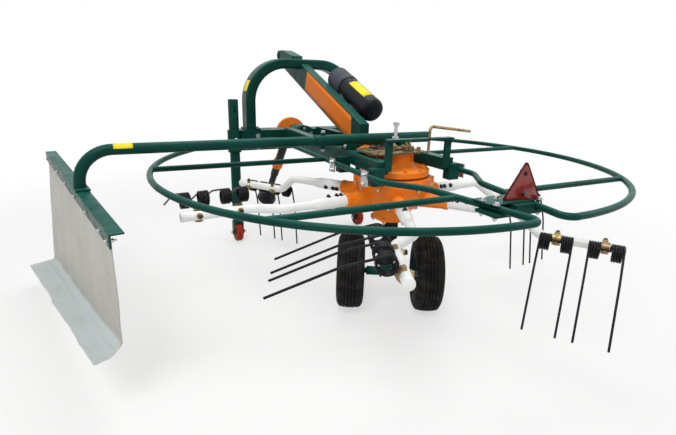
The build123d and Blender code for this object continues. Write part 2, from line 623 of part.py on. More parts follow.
def tines(index):
    """Two double spring tines: coils, legs, and the loop held by the clamp."""
    pairs = []
    for radius in CLAMP_RADII:
        pair = None
        for side in (-1, 1):
            x = radius + side * COIL_HALF_PITCH
            coil = Pos(*across(x, COIL_AT)) * Rot(0, 90, 0) * Cylinder(COIL_OUTER / 2, COIL_LENGTH)
            coil -= Pos(*across(x, COIL_AT)) * Rot(0, 90, 0) * Cylinder(
                COIL_OUTER / 2 - TINE_WIRE - 1.5, COIL_LENGTH + 1)
            x += side * (COIL_LENGTH / 2 - TINE_WIRE / 2 - 1.5)
            leg = bent_tube([across(x, LEG_START), across(x, LEG_KNEE), across(x, LEG_TIP)],
                            50, TINE_WIRE)
            pair = coil + leg if pair is None else pair + coil + leg
        pair += bar(across(radius - 20, LOOP_AT), across(radius + 20, LOOP_AT), TINE_WIRE / 2)
        pair += bar(across(radius, (ARM_CRANK + 20, 0)), across(radius, LOOP_AT), TINE_WIRE / 2 + 2)
        pair -= Pos(radius, 0, -ARM_CRANK) * Rot(0, 90, 0) * Cylinder(CLAMP_OUTER, 60)
        pairs.append(on_arm(index, pair))
    return Compound(children=pairs)


def tine_clamps():
    """Saddle clamps that hold the tines to the arms."""
    clamps = []
    for index in range(ARM_COUNT):
        for radius in CLAMP_RADII:
            clamp = Pos(radius, 0, -ARM_CRANK) * Rot(0, 90, 0) * Cylinder(CLAMP_OUTER, 36)
            clamp -= Pos(radius, 0, -ARM_CRANK) * Rot(0, 90, 0) * Cylinder(ARM_TUBE / 2, 40)
            clamp += Pos(radius, 0, -ARM_CRANK + 28) * Cylinder(11, 12, align=BASE)
            clamps.append(on_arm(index, clamp))
    return Compound(children=clamps)


# ---------------------------------------------------------------- swath curtain
def curtain_arm():
    """Tube that slides in the cross sleeve, bent down to its foot plate."""
    near, far = Vector(*CURTAIN_BAR_NEAR), Vector(*CURTAIN_BAR_FAR)
    foot = near + (far - near) * ((SLEEVE_Y - near.Y) / (far.Y - near.Y))
    tube = bent_tube([(CURTAIN_INNER_X, SLEEVE_Y, SLEEVE_Z), (foot.X, SLEEVE_Y, SLEEVE_Z),
                      (foot.X, SLEEVE_Y, foot.Z + 5)], CURTAIN_BEND, CURTAIN_TUBE)
    plate = Plane(origin=foot, x_dir=bar_frame().x_dir, z_dir=bar_frame().z_dir) * Pos(
        0, 4, 0) * Box(58, 8, 120)
    return tube + plate


def bar_frame():
    """Plane at the bar's middle: X outward from the machine, Z up across the bar."""
    near, far = Vector(*CURTAIN_BAR_NEAR), Vector(*CURTAIN_BAR_FAR)
    along = (far - near).normalized()
    return Plane(origin=(near + far) * 0.5, x_dir=(-along.Y, along.X, 0), z_dir=along)


def bar_length():
    """Length of the curtain bar."""
    return (Vector(*CURTAIN_BAR_FAR) - Vector(*CURTAIN_BAR_NEAR)).length


def along_bar(corners, half_length):
    """Prism along the bar from (outward, up) corners."""
    face = make_face(Polyline(*[(x, y, 0) for x, y in corners], close=True))
    return bar_frame() * Pos(0, 0, -half_length) * extrude(face, 2 * half_length, dir=(0, 0, 1))


def curtain_bar():
    """Angle section: flat flange on top, upright flange outside."""
    leg, wall = CURTAIN_ANGLE, 6.0
    corners = [(leg / 2, 0), (-leg / 2, 0), (-leg / 2, -wall), (leg / 2 - wall, -wall),
               (leg / 2 - wall, -leg), (leg / 2, -leg)]
    return along_bar(corners, bar_length() / 2)


def sheet_face(place, fold, lean, reach, fall):
    """Cross-section of the canvas at a place along the bar: drop to the fold, then the hem."""
    x, thick = CURTAIN_ANGLE / 2 - 6, 5.0
    corners = [(x, -8), (x - thick, -8), (x - thick, -54), (x - thick + lean, -fold),
               (x + lean + reach, -fold - fall), (x + lean + reach + 2, -fold - fall + 5),
               (x + lean, -fold + 7), (x, -54)]
    face = make_face(Polyline(*[(u, v, 0) for u, v in corners], close=True))
    return bar_frame() * Pos(0, 0, place) * face


def curtain_sheet():
    """Canvas hung inside the upright flange, longer at the front, its hem turned outwards."""
    half = bar_length() / 2 - 12
    rear = sheet_face(-half, 462, 2, 100, 16)
    front = sheet_face(half, 642, 54, 121, 8)
    return loft([rear, front], ruled=True)


# ---------------------------------------------------------------- PTO shaft
def on_pto(solid):
    """Place a piece drawn along Z from the universal joint's centre."""
    return Pos(0, PTO_HINGE_Y, INPUT_Z) * Rot(-90 - PTO_SLOPE, 0, 0) * solid


def pto_outer_guard():
    """Outer guard tube with its joint cone and cross."""
    body = turned([(30, 62), (52, 62), (46, 110), (35, 150), (35, 560), (30, 560)])
    body += Pos(0, 0, 14) * Cylinder(20, 60, align=BASE)
    body += Pos(0, 0, 66) * Cylinder(32, 20, align=BASE)
    return on_pto(body + bar((-23, 0, 0), (23, 0, 0), 9) + Cylinder(18, 34))


def pto_collar():
    """Coloured bearing collar on the guard."""
    return on_pto(turned([(35, 372), (46, 376), (46, 440), (35, 444)]))


def pto_inner_guard():
    """Inner guard tube with its bell."""
    bell = PTO_BELL_RADIUS
    profile = [(29, 330), (29, 800), (44, 812), (bell - 14, PTO_LENGTH - 40), (bell, PTO_LENGTH),
               (bell - 5, PTO_LENGTH), (bell - 19, PTO_LENGTH - 38), (39, 818), (0, 812), (0, 330)]
    return on_pto(turned(profile))


def pto_yoke():
    """Tractor-end yoke with its splined bore, inside the bell."""
    body = Pos(0, 0, 820) * Cylinder(30, PTO_LENGTH - 830, align=BASE)
    return on_pto(body - Pos(0, 0, PTO_LENGTH - 100) * Cylinder(17.45, 200, align=BASE))


# ---------------------------------------------------------------- assembly
right_guard = guard_half()

nodes = {
    "headstock_arch": headstock_arch(),
    "top_link_bracket": top_link_bracket(),
    "hitch_crossbeam": crossbeam(),
    "lower_hitch_pins": lower_hitch_pins(),
    "main_beams": main_beams(),
    "web_plate": top_plate(),
    "portal": portal(),
    "strut": strut(),
    "guard_clamp_plates": guard_clamp_plates(),
    "guard_left": mirrored(right_guard),
    "guard_right": right_guard,
    "guard_rear_plate": guard_rear_plate(),
    "reflector": reflector(),
    "gearbox_housing": gearbox_housing(),
    "input_tube": input_tube(),
    "input_shield": input_shield(),
    "input_yoke": input_yoke(),
    "column": column(),
    "cam_plate": cam_plate(),
    "grease_block": grease_block(),
    "stop_screw": stop_screw(),
    "latch_rod": latch_rod(),
    "curtain_sleeve": curtain_sleeve(),
    "canister_body": canister_body(),
    "canister_cap": canister_cap(),
    "canister_cradle": canister_cradle(),
    "carriage": carriage(),
    "axle": axle(),
    "rotor_hub": rotor_hub(),
    "tine_clamps": tine_clamps(),
    "curtain_arm": curtain_arm(),
    "curtain_bar": curtain_bar(),
    "curtain_sheet": curtain_sheet(),
    "pto_outer_guard": pto_outer_guard(),
    "pto_collar": pto_collar(),
    "pto_inner_guard": pto_inner_guard(),
    "pto_yoke": pto_yoke(),
}
for name, side in (("left", -1), ("right", 1)):
    nodes[f"tyre_{name}"] = tyre(side)
    nodes[f"rim_{name}"] = rim(side)
    nodes[f"stand_leg_{name}"] = stand_tube(side * STAND_X) + castor_fork(side * STAND_X)
    nodes[f"castor_wheel_{name}"] = castor_wheel(side * STAND_X)
for arm in range(ARM_COUNT):
    nodes[f"rotor_arm_{arm + 1}"] = rotor_arm(arm)
    nodes[f"tines_{arm + 1}"] = tines(arm)

whole = Compound(children=[Compound(s.wrapped) for s in nodes.values()]).bounding_box()
footprint = Pos(-whole.center().X, -whole.center().Y, -whole.min.Z)
print("origin moved by", [round(v, 4) for v in footprint.position])
print("size", [round(v, 1) for v in whole.size])

os.makedirs("parts", exist_ok=True)
for name, solid in nodes.items():
    export_step(footprint * solid, f"parts/{name}.step")
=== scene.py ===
"""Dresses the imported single-rotor hay rake: finishes on the steel parts, and the wound
tines, clamps, tyres, canvas, labels and fasteners that the solids only hold the room for.

Sizes are in millimetres in the machine's own frame (rotor axis at the origin, ground at
Z = 0, +Y forward, +X to the right). MeshDraft.build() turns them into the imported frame.
"""

import json
import logging
import math
from dataclasses import dataclass
from enum import Enum
from typing import Callable, ClassVar, Iterable, Sequence

import bmesh
import bpy
from mathutils import Matrix, Vector, noise

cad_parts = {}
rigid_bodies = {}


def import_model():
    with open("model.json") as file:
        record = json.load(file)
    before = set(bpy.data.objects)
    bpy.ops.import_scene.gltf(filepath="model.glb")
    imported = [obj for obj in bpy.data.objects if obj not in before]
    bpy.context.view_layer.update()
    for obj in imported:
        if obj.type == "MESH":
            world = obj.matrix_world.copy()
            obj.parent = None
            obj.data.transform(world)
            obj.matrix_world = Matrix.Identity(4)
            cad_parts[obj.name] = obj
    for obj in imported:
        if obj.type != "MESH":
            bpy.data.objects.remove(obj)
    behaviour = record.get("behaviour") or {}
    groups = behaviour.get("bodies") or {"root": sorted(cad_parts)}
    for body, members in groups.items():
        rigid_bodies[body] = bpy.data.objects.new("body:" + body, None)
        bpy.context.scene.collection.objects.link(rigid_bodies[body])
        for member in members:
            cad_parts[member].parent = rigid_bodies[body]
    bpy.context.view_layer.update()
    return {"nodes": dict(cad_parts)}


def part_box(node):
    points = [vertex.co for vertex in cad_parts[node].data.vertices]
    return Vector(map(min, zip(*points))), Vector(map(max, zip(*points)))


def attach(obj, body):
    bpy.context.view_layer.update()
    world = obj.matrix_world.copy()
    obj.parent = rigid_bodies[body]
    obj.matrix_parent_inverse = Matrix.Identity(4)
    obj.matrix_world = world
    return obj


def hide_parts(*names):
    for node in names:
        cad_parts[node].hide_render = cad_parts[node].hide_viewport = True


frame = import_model()

MM = 0.001
METRE = 1000.0
WHITE = (1.0, 1.0, 1.0, 1.0)
SIDES = (("left", -1), ("right", 1))
FIXED = "machine_frame"
LOG = logging.getLogger("hay_rake")
Point = tuple[float, float, float]
Pair = tuple[float, float]
Socket = bpy.types.NodeSocket


def rotor_axis() -> Vector:
    """Place of the rotor's axis on the ground.

    Returns:
        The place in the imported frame.
    """
    low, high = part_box("column")
    middle = (low + high) / 2
    return Vector((middle.x, middle.y, 0.0))


AXIS = rotor_axis()


# ------------------------------------------------------------------ colour and nodes
def linear(code: str) -> tuple[float, float, float, float]:
    """Linear colour of an sRGB hex value.

    Args:
        code: Six hex digits after a hash sign.

    Returns:
        Red, green, blue and alpha as a shader socket takes them.
    """
    parts = [int(code[i:i + 2], 16) / 255 for i in (1, 3, 5)]
    made = [p / 12.92 if p <= 0.04045 else ((p + 0.055) / 1.055) ** 2.4 for p in parts]
    return (made[0], made[1], made[2], 1.0)


def limits(low: float, high: float, start: float = 0.3, end: float = 0.7) -> dict[str, float]:
    """Settings that stretch a value over a new range.

    Args:
        low: Result at start.
        high: Result at end.
        start: Value that gives low.
        end: Value that gives high.

    Returns:
        The settings by socket name.
    """
    return {"From Min": start, "From Max": end, "To Min": low, "To Max": high}


def add_node(tree: bpy.types.NodeTree, kind: str, settings: dict | None = None,
             links: dict | None = None) -> bpy.types.Node:
    """Add a node with its settings and links.

    Args:
        tree: Node tree that takes the node.
        kind: Blender's name of the node type, after "ShaderNode".
        settings: Values by socket name, socket number or node property. "stops" holds the
            position and sRGB hex of each stop of a colour ramp.
        links: Output sockets by input socket name or number.

    Returns:
        The new node.
    """
    made = tree.nodes.new("ShaderNode" + kind)
    for key, value in (settings or {}).items():
        if key == "stops":
            band = made.color_ramp.elements
            while len(band) < len(value):
                band.new(0.5)
            for element, (place, code) in zip(band, value):
                element.position = place
                element.color = linear(code)
        elif isinstance(key, int) or key in made.inputs:
            made.inputs[key].default_value = value
        else:
            setattr(made, key, value)
    for key, source in (links or {}).items():
        tree.links.new(source, made.inputs[key])
    return made


@dataclass(frozen=True)
class Look:
    """Node tree of a material while its finish is laid on.

    Attributes:
        tree: The node tree.
        shader: Its principled shader.
        place: Texture coordinates in metres.
    """

    tree: bpy.types.NodeTree
    shader: bpy.types.Node
    place: Socket

    def cloud(self, size: float, detail: float, levels: Sequence[float] = ()) -> Socket:
        """Cloudy pattern whose features have a real size.

        Args:
            size: Size of a feature in millimetres.
            detail: Octaves of finer noise.
            levels: What limits() takes, or nothing for the plain pattern.

        Returns:
            The pattern's value.
        """
        made = add_node(self.tree, "TexNoise", {"Scale": METRE / size, "Detail": detail},
                        {"Vector": self.place}).outputs["Fac"]
        if levels:
            made = add_node(self.tree, "MapRange", limits(*levels), {"Value": made}).outputs["Result"]
        return made

    def upward(self, *levels: float) -> Socket:
        """Value by how far a face looks up.

        Args:
            levels: What limits() takes.

        Returns:
            The value.
        """
        normal = add_node(self.tree, "NewGeometry").outputs["Normal"]
        lift = add_node(self.tree, "SeparateXYZ", links={0: normal}).outputs["Z"]
        return add_node(self.tree, "MapRange", limits(*levels), {"Value": lift}).outputs["Result"]

    def colour(self, ground: Socket | str, layers: Sequence[tuple[Socket, str]]) -> None:
        """Lay colours over a ground and feed them to the shader.

        Args:
            ground: Colour under the layers, as a socket or sRGB hex.
            layers: Share and sRGB hex of each layer, from the lowest up.
        """
        for share, code in layers:
            settings = {"data_type": "RGBA", 7: linear(code)}
            links = {0: share}
            if isinstance(ground, str):
                settings[6] = linear(ground)
            else:
                links[6] = ground
            ground = add_node(self.tree, "Mix", settings, links).outputs[2]
        self.feed("Base Color", ground)

    def relief(self, *layers: tuple[Socket, float, float]) -> None:
        """Bump the surface, one pattern on the other.

        Args:
            layers: Height pattern, its depth in millimetres and its strength, from the lowest up.
        """
        under = {}
        for height, depth, strength in layers:
            bump = add_node(self.tree, "Bump", {"Strength": strength, "Distance": depth * MM},
                            {"Height": height, **under})
            under = {"Normal": bump.outputs["Normal"]}
        self.feed("Normal", under["Normal"])

    def feed(self, name: str, source: Socket) -> None:
        """Link a value to the shader's socket of that name."""
        self.tree.links.new(source, self.shader.inputs[name])


# ------------------------------------------------------------------ finishes
@dataclass(frozen=True)
class Finish:
    """A surface finish: what it is made of and how it looks.

    Attributes:
        name: Common name of the material, used for the Blender material.
        colour: Main colour as sRGB hex.
        second: Colour of its fading, dust or grain.
        roughness: Roughness of the clean surface.
        slot: The record's material slot, or an empty string; not used.
        sockets: Shader values that are the same all over the surface.
    """

    name: str
    colour: str
    second: str
    roughness: float
    slot: str = ""
    sockets: ClassVar[dict[str, float]] = {}

    def material(self) -> bpy.types.Material:
        """Make the Blender material on first use.

        Returns:
            The material.
        """
        found = bpy.data.materials.get(self.name)
        if found is not None:
            return found
        made = bpy.data.materials.new(self.name)
        made.use_nodes = True
        tree = made.node_tree
        tree.nodes.clear()
        shader = add_node(tree, "BsdfPrincipled", {"Roughness": self.roughness, **self.sockets})
        place = add_node(tree, "TexCoord").outputs["Object"]
        self.dress(Look(tree, shader, place))
        add_node(tree, "OutputMaterial", links={"Surface": shader.outputs["BSDF"]})
        made.diffuse_color = linear(self.colour)
        return made

    def dress(self, look: Look) -> None:
        """Lay the finish's own patterns on a look.

        Args:
            look: The look.
        """
        raise NotImplementedError

    def scuff(self, look: Look, size: float, detail: float, low: float, high: float) -> None:
        """Let the roughness drift in patches.

        Args:
            look: The look.
            size: Size of the patches in millimetres.
            detail: Octaves of finer noise.
            low: Lowest share of the clean roughness.
            high: Highest share of it.
        """
        levels = (self.roughness * low, min(1.0, self.roughness * high))
        look.feed("Roughness", look.cloud(size, detail, levels))


@dataclass(frozen=True)
class SprayedEnamel(Finish):
    """Enamel sprayed on steel or cast iron.

    Attributes:
        dust_and_highlight: Share of the second colour laid on upward faces: settled dust, and on the
            frame a painted highlight.
        cast: Depth in millimetres of the casting's skin under the paint, or 0 for rolled steel.
        sheen: Strength of the reflection.
    """

    dust_and_highlight: float = 0.18
    cast: float = 0.0
    sheen: float = 0.3
    sockets: ClassVar[dict[str, float]] = {"IOR": 1.5}

    def dress(self, look: Look) -> None:
        """Orange peel over the casting's skin, slight fading, chips, and the second colour on upward
        faces: settled dust, and on the frame a painted highlight.

        Args:
            look: The look.
        """
        look.shader.inputs["Specular IOR Level"].default_value = self.sheen
        faded = look.cloud(260, 4, (0.0, 0.22))
        # Upward faces take the second colour: settled dust, and on the frame a painted highlight where
        # light falls on the tops.
        upward_dust_and_highlight = add_node(look.tree, "Math", {"operation": "MULTIPLY"},
                           {0: look.upward(0.0, self.dust_and_highlight, 0.35, 0.98),
                            1: look.cloud(35, 5, (0.5, 1.3))}).outputs[0]
        chips = look.cloud(16, 6, (0.0, 0.55, 0.715, 0.745))
        look.colour(self.colour, [(share, self.second) for share in (faded, upward_dust_and_highlight, chips)])
        self.scuff(look, 60, 4, 0.8, 1.45)
        # Orange peel of a sprayed coat is 1 to 2 mm across; drawn at 4 mm so that it shows.
        skins = [(look.cloud(4, 2), 0.05, 0.35)]
        if self.cast:
            skins.append((look.cloud(9, 5), self.cast, 0.6))
        look.relief(*skins)


@dataclass(frozen=True)
class PlatedSteel(Finish):
    """Zinc-plated, passivated, blacked or oiled steel.

    Attributes:
        spangle: Size of the crystals or colour bands in millimetres.
        tint: A third colour in the plating.
    """

    spangle: float = 7.0
    tint: str = "#b8b8b4"
    sockets: ClassVar[dict[str, float]] = {"Metallic": 1.0}

    def dress(self, look: Look) -> None:
        """Metal with cloudy plating and a fine crystal pattern.

        Args:
            look: The look.
        """
        crystals = add_node(look.tree, "TexVoronoi", {"Scale": METRE / self.spangle},
                            {"Vector": look.place}).outputs["Color"]
        tones = add_node(look.tree, "SeparateColor", links={0: crystals}).outputs
        stops = [(0.35, self.second), (0.5, self.colour), (0.66, self.tint)]
        cloudy = add_node(look.tree, "ValToRGB", {"stops": stops},
                          {"Fac": look.cloud(self.spangle * 3, 4)}).outputs["Color"]
        share, rough = (add_node(look.tree, "MapRange", limits(low, high, 0.0, 1.0),
                                 {"Value": tones[number]}).outputs["Result"]
                        for number, low, high in ((0, 0.0, 0.25),
                                                  (1, self.roughness * 0.8, self.roughness * 1.3)))
        look.colour(cloudy, [(share, self.second)])
        look.feed("Roughness", rough)
        look.relief((look.cloud(2.5, 3), 0.06, 0.4))


@dataclass(frozen=True)
class VulcanisedRubber(Finish):
    """Moulded tyre rubber."""

    sockets: ClassVar[dict[str, float]] = {"IOR": 1.52, "Specular IOR Level": 0.12,
                                           "Sheen Roughness": 0.5}

    def dress(self, look: Look) -> None:
        """Dull black with field dust in patches and a fine mould skin.

        Args:
            look: The look.
        """
        look.colour(self.colour, [(look.cloud(45, 6, (0.0, 0.5, 0.42, 0.72)), self.second)])
        self.scuff(look, 25, 4, 0.85, 1.15)
        look.relief((look.cloud(2.2, 4), 0.12, 0.5))


@dataclass(frozen=True)
class MouldedPlastic(Finish):
    """Injection-moulded polyethylene, polypropylene or polyamide.

    Attributes:
        texture: Size in millimetres of the mould's spark-eroded grain.
    """

    texture: float = 1.8
    sockets: ClassVar[dict[str, float]] = {"IOR": 1.5, "Specular IOR Level": 0.14}

    def dress(self, look: Look) -> None:
        """Soft sheen with a fine even grain and a chalky bloom.

        Args:
            look: The look.
        """
        look.colour(self.colour, [(look.cloud(120, 5, (0.0, 0.35)), self.second)])
        self.scuff(look, 30, 4, 0.85, 1.2)
        look.relief((look.cloud(self.texture, 2), 0.05, 0.5))


@dataclass(frozen=True)
class CoatedCanvas(Finish):
    """Plain-woven polyester coated with PVC.

    Attributes:
        thread: Thread spacing in millimetres.
        sky_reflection_tint: Colour of the painted sky reflection laid on faces that lie open to the sky.
    """

    # Threads are 1 mm apart; drawn 3 mm apart so that the grid shows at all.
    thread: float = 3.0
    sky_reflection_tint: str = "#c2cccc"
    sockets: ClassVar[dict[str, float]] = {"IOR": 1.48, "Sheen Weight": 0.15,
                                           "Sheen Roughness": 0.4}

    def dress(self, look: Look) -> None:
        """Pale coated cloth: the weave shows through the coat as a shallow grid, and faces that look up
        take a painted reflection of the sky.

        Args:
            look: The look.
        """
        layout = add_node(look.tree, "TexCoord").outputs["UV"]
        # A wave texture has 20 / tau bands to the unit.
        pitch = METRE / self.thread / 20.0 * math.tau
        grids = {}
        for number, direction in enumerate(("X", "Y")):
            grids[number] = add_node(look.tree, "TexWave",
                                     {"bands_direction": direction, "Scale": pitch,
                                      "Distortion": 0.35, "Detail": 1.0},
                                     {"Vector": layout}).outputs["Fac"]
        weave = add_node(look.tree, "Math", {"operation": "MULTIPLY"}, grids).outputs[0]
        thread = add_node(look.tree, "MapRange", limits(0.0, 0.16, 0.0, 1.0),
                          {"Value": weave}).outputs["Result"]
        stain = look.cloud(190, 6, (0.0, 0.75, 0.36, 0.7))
        # Painted sky reflection: faces that look up, such as the turned-out skirt, take a cooler, paler
        # tone than the upright cloth.
        painted_sky_share = look.upward(0.0, 0.9, 0.12, 0.55)
        look.colour(self.colour, [(stain, self.second), (thread, self.second),
                                  (painted_sky_share, self.sky_reflection_tint)])
        self.scuff(look, 40, 4, 0.85, 1.15)
        look.relief((weave, 0.25, 0.35), (look.cloud(70, 4), 2.0, 0.35))


@dataclass(frozen=True)
class PrismLens(Finish):
    """Moulded acrylic reflector with prism cells behind its face.

    Attributes:
        cell: Size of a prism cell in millimetres.
    """

    cell: float = 5.0
    sockets: ClassVar[dict[str, float]] = {"IOR": 1.49, "Coat Weight": 0.5, "Coat Roughness": 0.05}

    def dress(self, look: Look) -> None:
        """Deep red gloss with a fine net of cells.

        Args:
            look: The look.
        """
        cells = add_node(look.tree, "TexVoronoi",
                         {"feature": "DISTANCE_TO_EDGE", "Scale": METRE / self.cell,
                          "Randomness": 0.25}, {"Vector": look.place}).outputs["Distance"]
        net = add_node(look.tree, "MapRange", limits(0.55, 0.0, 0.0, 0.16),
                       {"Value": cells}).outputs["Result"]
        look.colour(self.colour, [(look.cloud(40, 3, (0.0, 0.35)), self.second), (net, self.second)])
        look.relief((cells, 0.3, 0.4))


@dataclass(frozen=True)
class PrintedVinyl(Finish):
    """Blank self-adhesive film."""

    sockets: ClassVar[dict[str, float]] = {"IOR": 1.46, "Specular IOR Level": 0.08}

    def dress(self, look: Look) -> None:
        """Even colour with slight sun fading and faint ripples of the film.

        Args:
            look: The look.
        """
        look.colour(self.colour, [(look.cloud(80, 4, (0.0, 0.4)), self.second)])
        self.scuff(look, 20, 3, 0.8, 1.2)
        look.relief((look.cloud(14, 3), 0.1, 0.3))


class Paint(Enum):
    """Every finish on the machine."""

    # Dark petrol enamel over rolled tube: soft gloss, broken by orange peel; the paler green on upward
    # faces is a painted highlight on the tops.
    FRAME = SprayedEnamel("petrol_gloss_enamel", "#06362e", "#2b6a60", 0.3, "frame_enamel",
                          dust_and_highlight=0.42, sheen=0.07)
    # Orange enamel over castings: the sand-cast skin shows through the gloss.
    GEAR = SprayedEnamel("orange_cast_iron_enamel", "#ec7810", "#f2a552", 0.33, "gear_enamel",
                         dust_and_highlight=0.14, cast=0.35, sheen=0.15)
    # White enamel on the arms: bright, with a little grey dust.
    ARM = SprayedEnamel("white_gloss_enamel", "#eef0ee", "#c9cbc6", 0.28, "arm_enamel", dust_and_highlight=0.14)
    # Black enamel on the column: an even satin that hides the tube's surface.
    BLACK = SprayedEnamel("satin_black_enamel", "#121414", "#3b3c3a", 0.42, "black_enamel", sheen=0.1)
    # Black-dipped spring wire: half gloss, worn grey in spots.
    SPRING = SprayedEnamel("black_dipped_spring_steel", "#0e0f12", "#33333a", 0.36, "spring_steel",
                           dust_and_highlight=0.08, sheen=0.15)
    # Hot-dip zinc: pale grey with a crystal pattern.
    ZINC = PlatedSteel("galvanised_steel", "#c8cacb", "#9a9da0", 0.36, "zinc")
    # Yellow-passivated zinc: straw gold that drifts to olive and rose.
    GOLD = PlatedSteel("yellow_passivated_zinc", "#a08a5c", "#6f6344", 0.42, "yellow_zinc",
                       spangle=5.0, tint="#a3806c")
    # Oiled plate steel: brown-grey film over the mill skin.
    CAM = PlatedSteel("oiled_plate_steel", "#77664a", "#4d4434", 0.42, "cam_steel",
                      spangle=12.0, tint="#8d7d62")
    # Bare forged steel of the joints: mid grey, mottled by handling.
    STEEL = PlatedSteel("forged_steel", "#85868a", "#5b5a58", 0.4, "bare_steel", spangle=9.0,
                        tint="#99918a")
    # Chemically blacked bolts: near black, with the metal's own gleam.
    BLACKED = PlatedSteel("blacked_bolt_steel", "#3a3b40", "#232327", 0.4, "", spangle=6.0,
                          tint="#4b4a4c")
    # Moulded tyre rubber: dull near-black, brown dust in patches.
    RUBBER = VulcanisedRubber("vulcanised_tyre_rubber", "#151515", "#3a3732", 0.78, "tyre")
    # Moulded polyamide wheels: satin red that has gone brownish.
    CASTOR = MouldedPlastic("red_moulded_polyamide", "#9d2a17", "#7a3a26", 0.45, "castor_plastic")
    # Moulded nylon collar: clear orange with a soft sheen.
    COLLAR = MouldedPlastic("orange_moulded_nylon", "#e8750f", "#c8702a", 0.42, "collar_plastic")
    # Moulded polyethylene of the guards and the tube: satin black, greyed where it is worn.
    PLASTIC = MouldedPlastic("black_moulded_polyethylene", "#101114", "#2a2c31", 0.38,
                             "black_plastic")
    # The tube's cap: the same plastic in dark grey, matter and chalkier.
    LID = MouldedPlastic("dark_grey_moulded_polyethylene", "#3a3f48", "#5a6069", 0.5,
                         "black_plastic")
    # Coated cloth: warm pale grey, the weave just showing through.
    CANVAS = CoatedCanvas("pvc_coated_polyester_canvas", "#b6b3aa", "#a19f97", 0.5, "canvas")
    # Moulded acrylic lens: deep red gloss over a net of prism cells.
    LENS = PrismLens("red_acrylic_reflector", "#9c1f0e", "#5d0f08", 0.22, "reflector_red")
    # The lens's moulded border: dull dark red.
    BORDER = MouldedPlastic("dark_red_reflector_border", "#471510", "#2c0d0b", 0.4, "")
    # Label film: even bright yellow, slightly rippled.
    YELLOW = PrintedVinyl("yellow_vinyl_film", "#f2dc2e", "#e3cf4d", 0.34, "")
    # The strut's band: even orange film, a little faded.
    ORANGE_FILM = PrintedVinyl("orange_vinyl_film", "#ee7a1c", "#e0802f", 0.34, "")

    def dress(self, piece: bpy.types.Object) -> None:
        """Give the whole piece this finish."""
        piece.data.materials.clear()
        piece.data.materials.append(self.value.material())


# ------------------------------------------------------------------ meshes
def circle(count: int, radius: float = 1.0, first: float = 0.0) -> list[Pair]:
    """Evenly spread places on a circle.

    Args:
        count: Number of places.
        radius: Radius of the circle.
        first: Turn of the first place, in shares of the step between two.

    Returns:
        Both coordinates of each place.
    """
    angles = [math.tau * (step + first) / count for step in range(count)]
    return [(radius * math.cos(angle), radius * math.sin(angle)) for angle in angles]


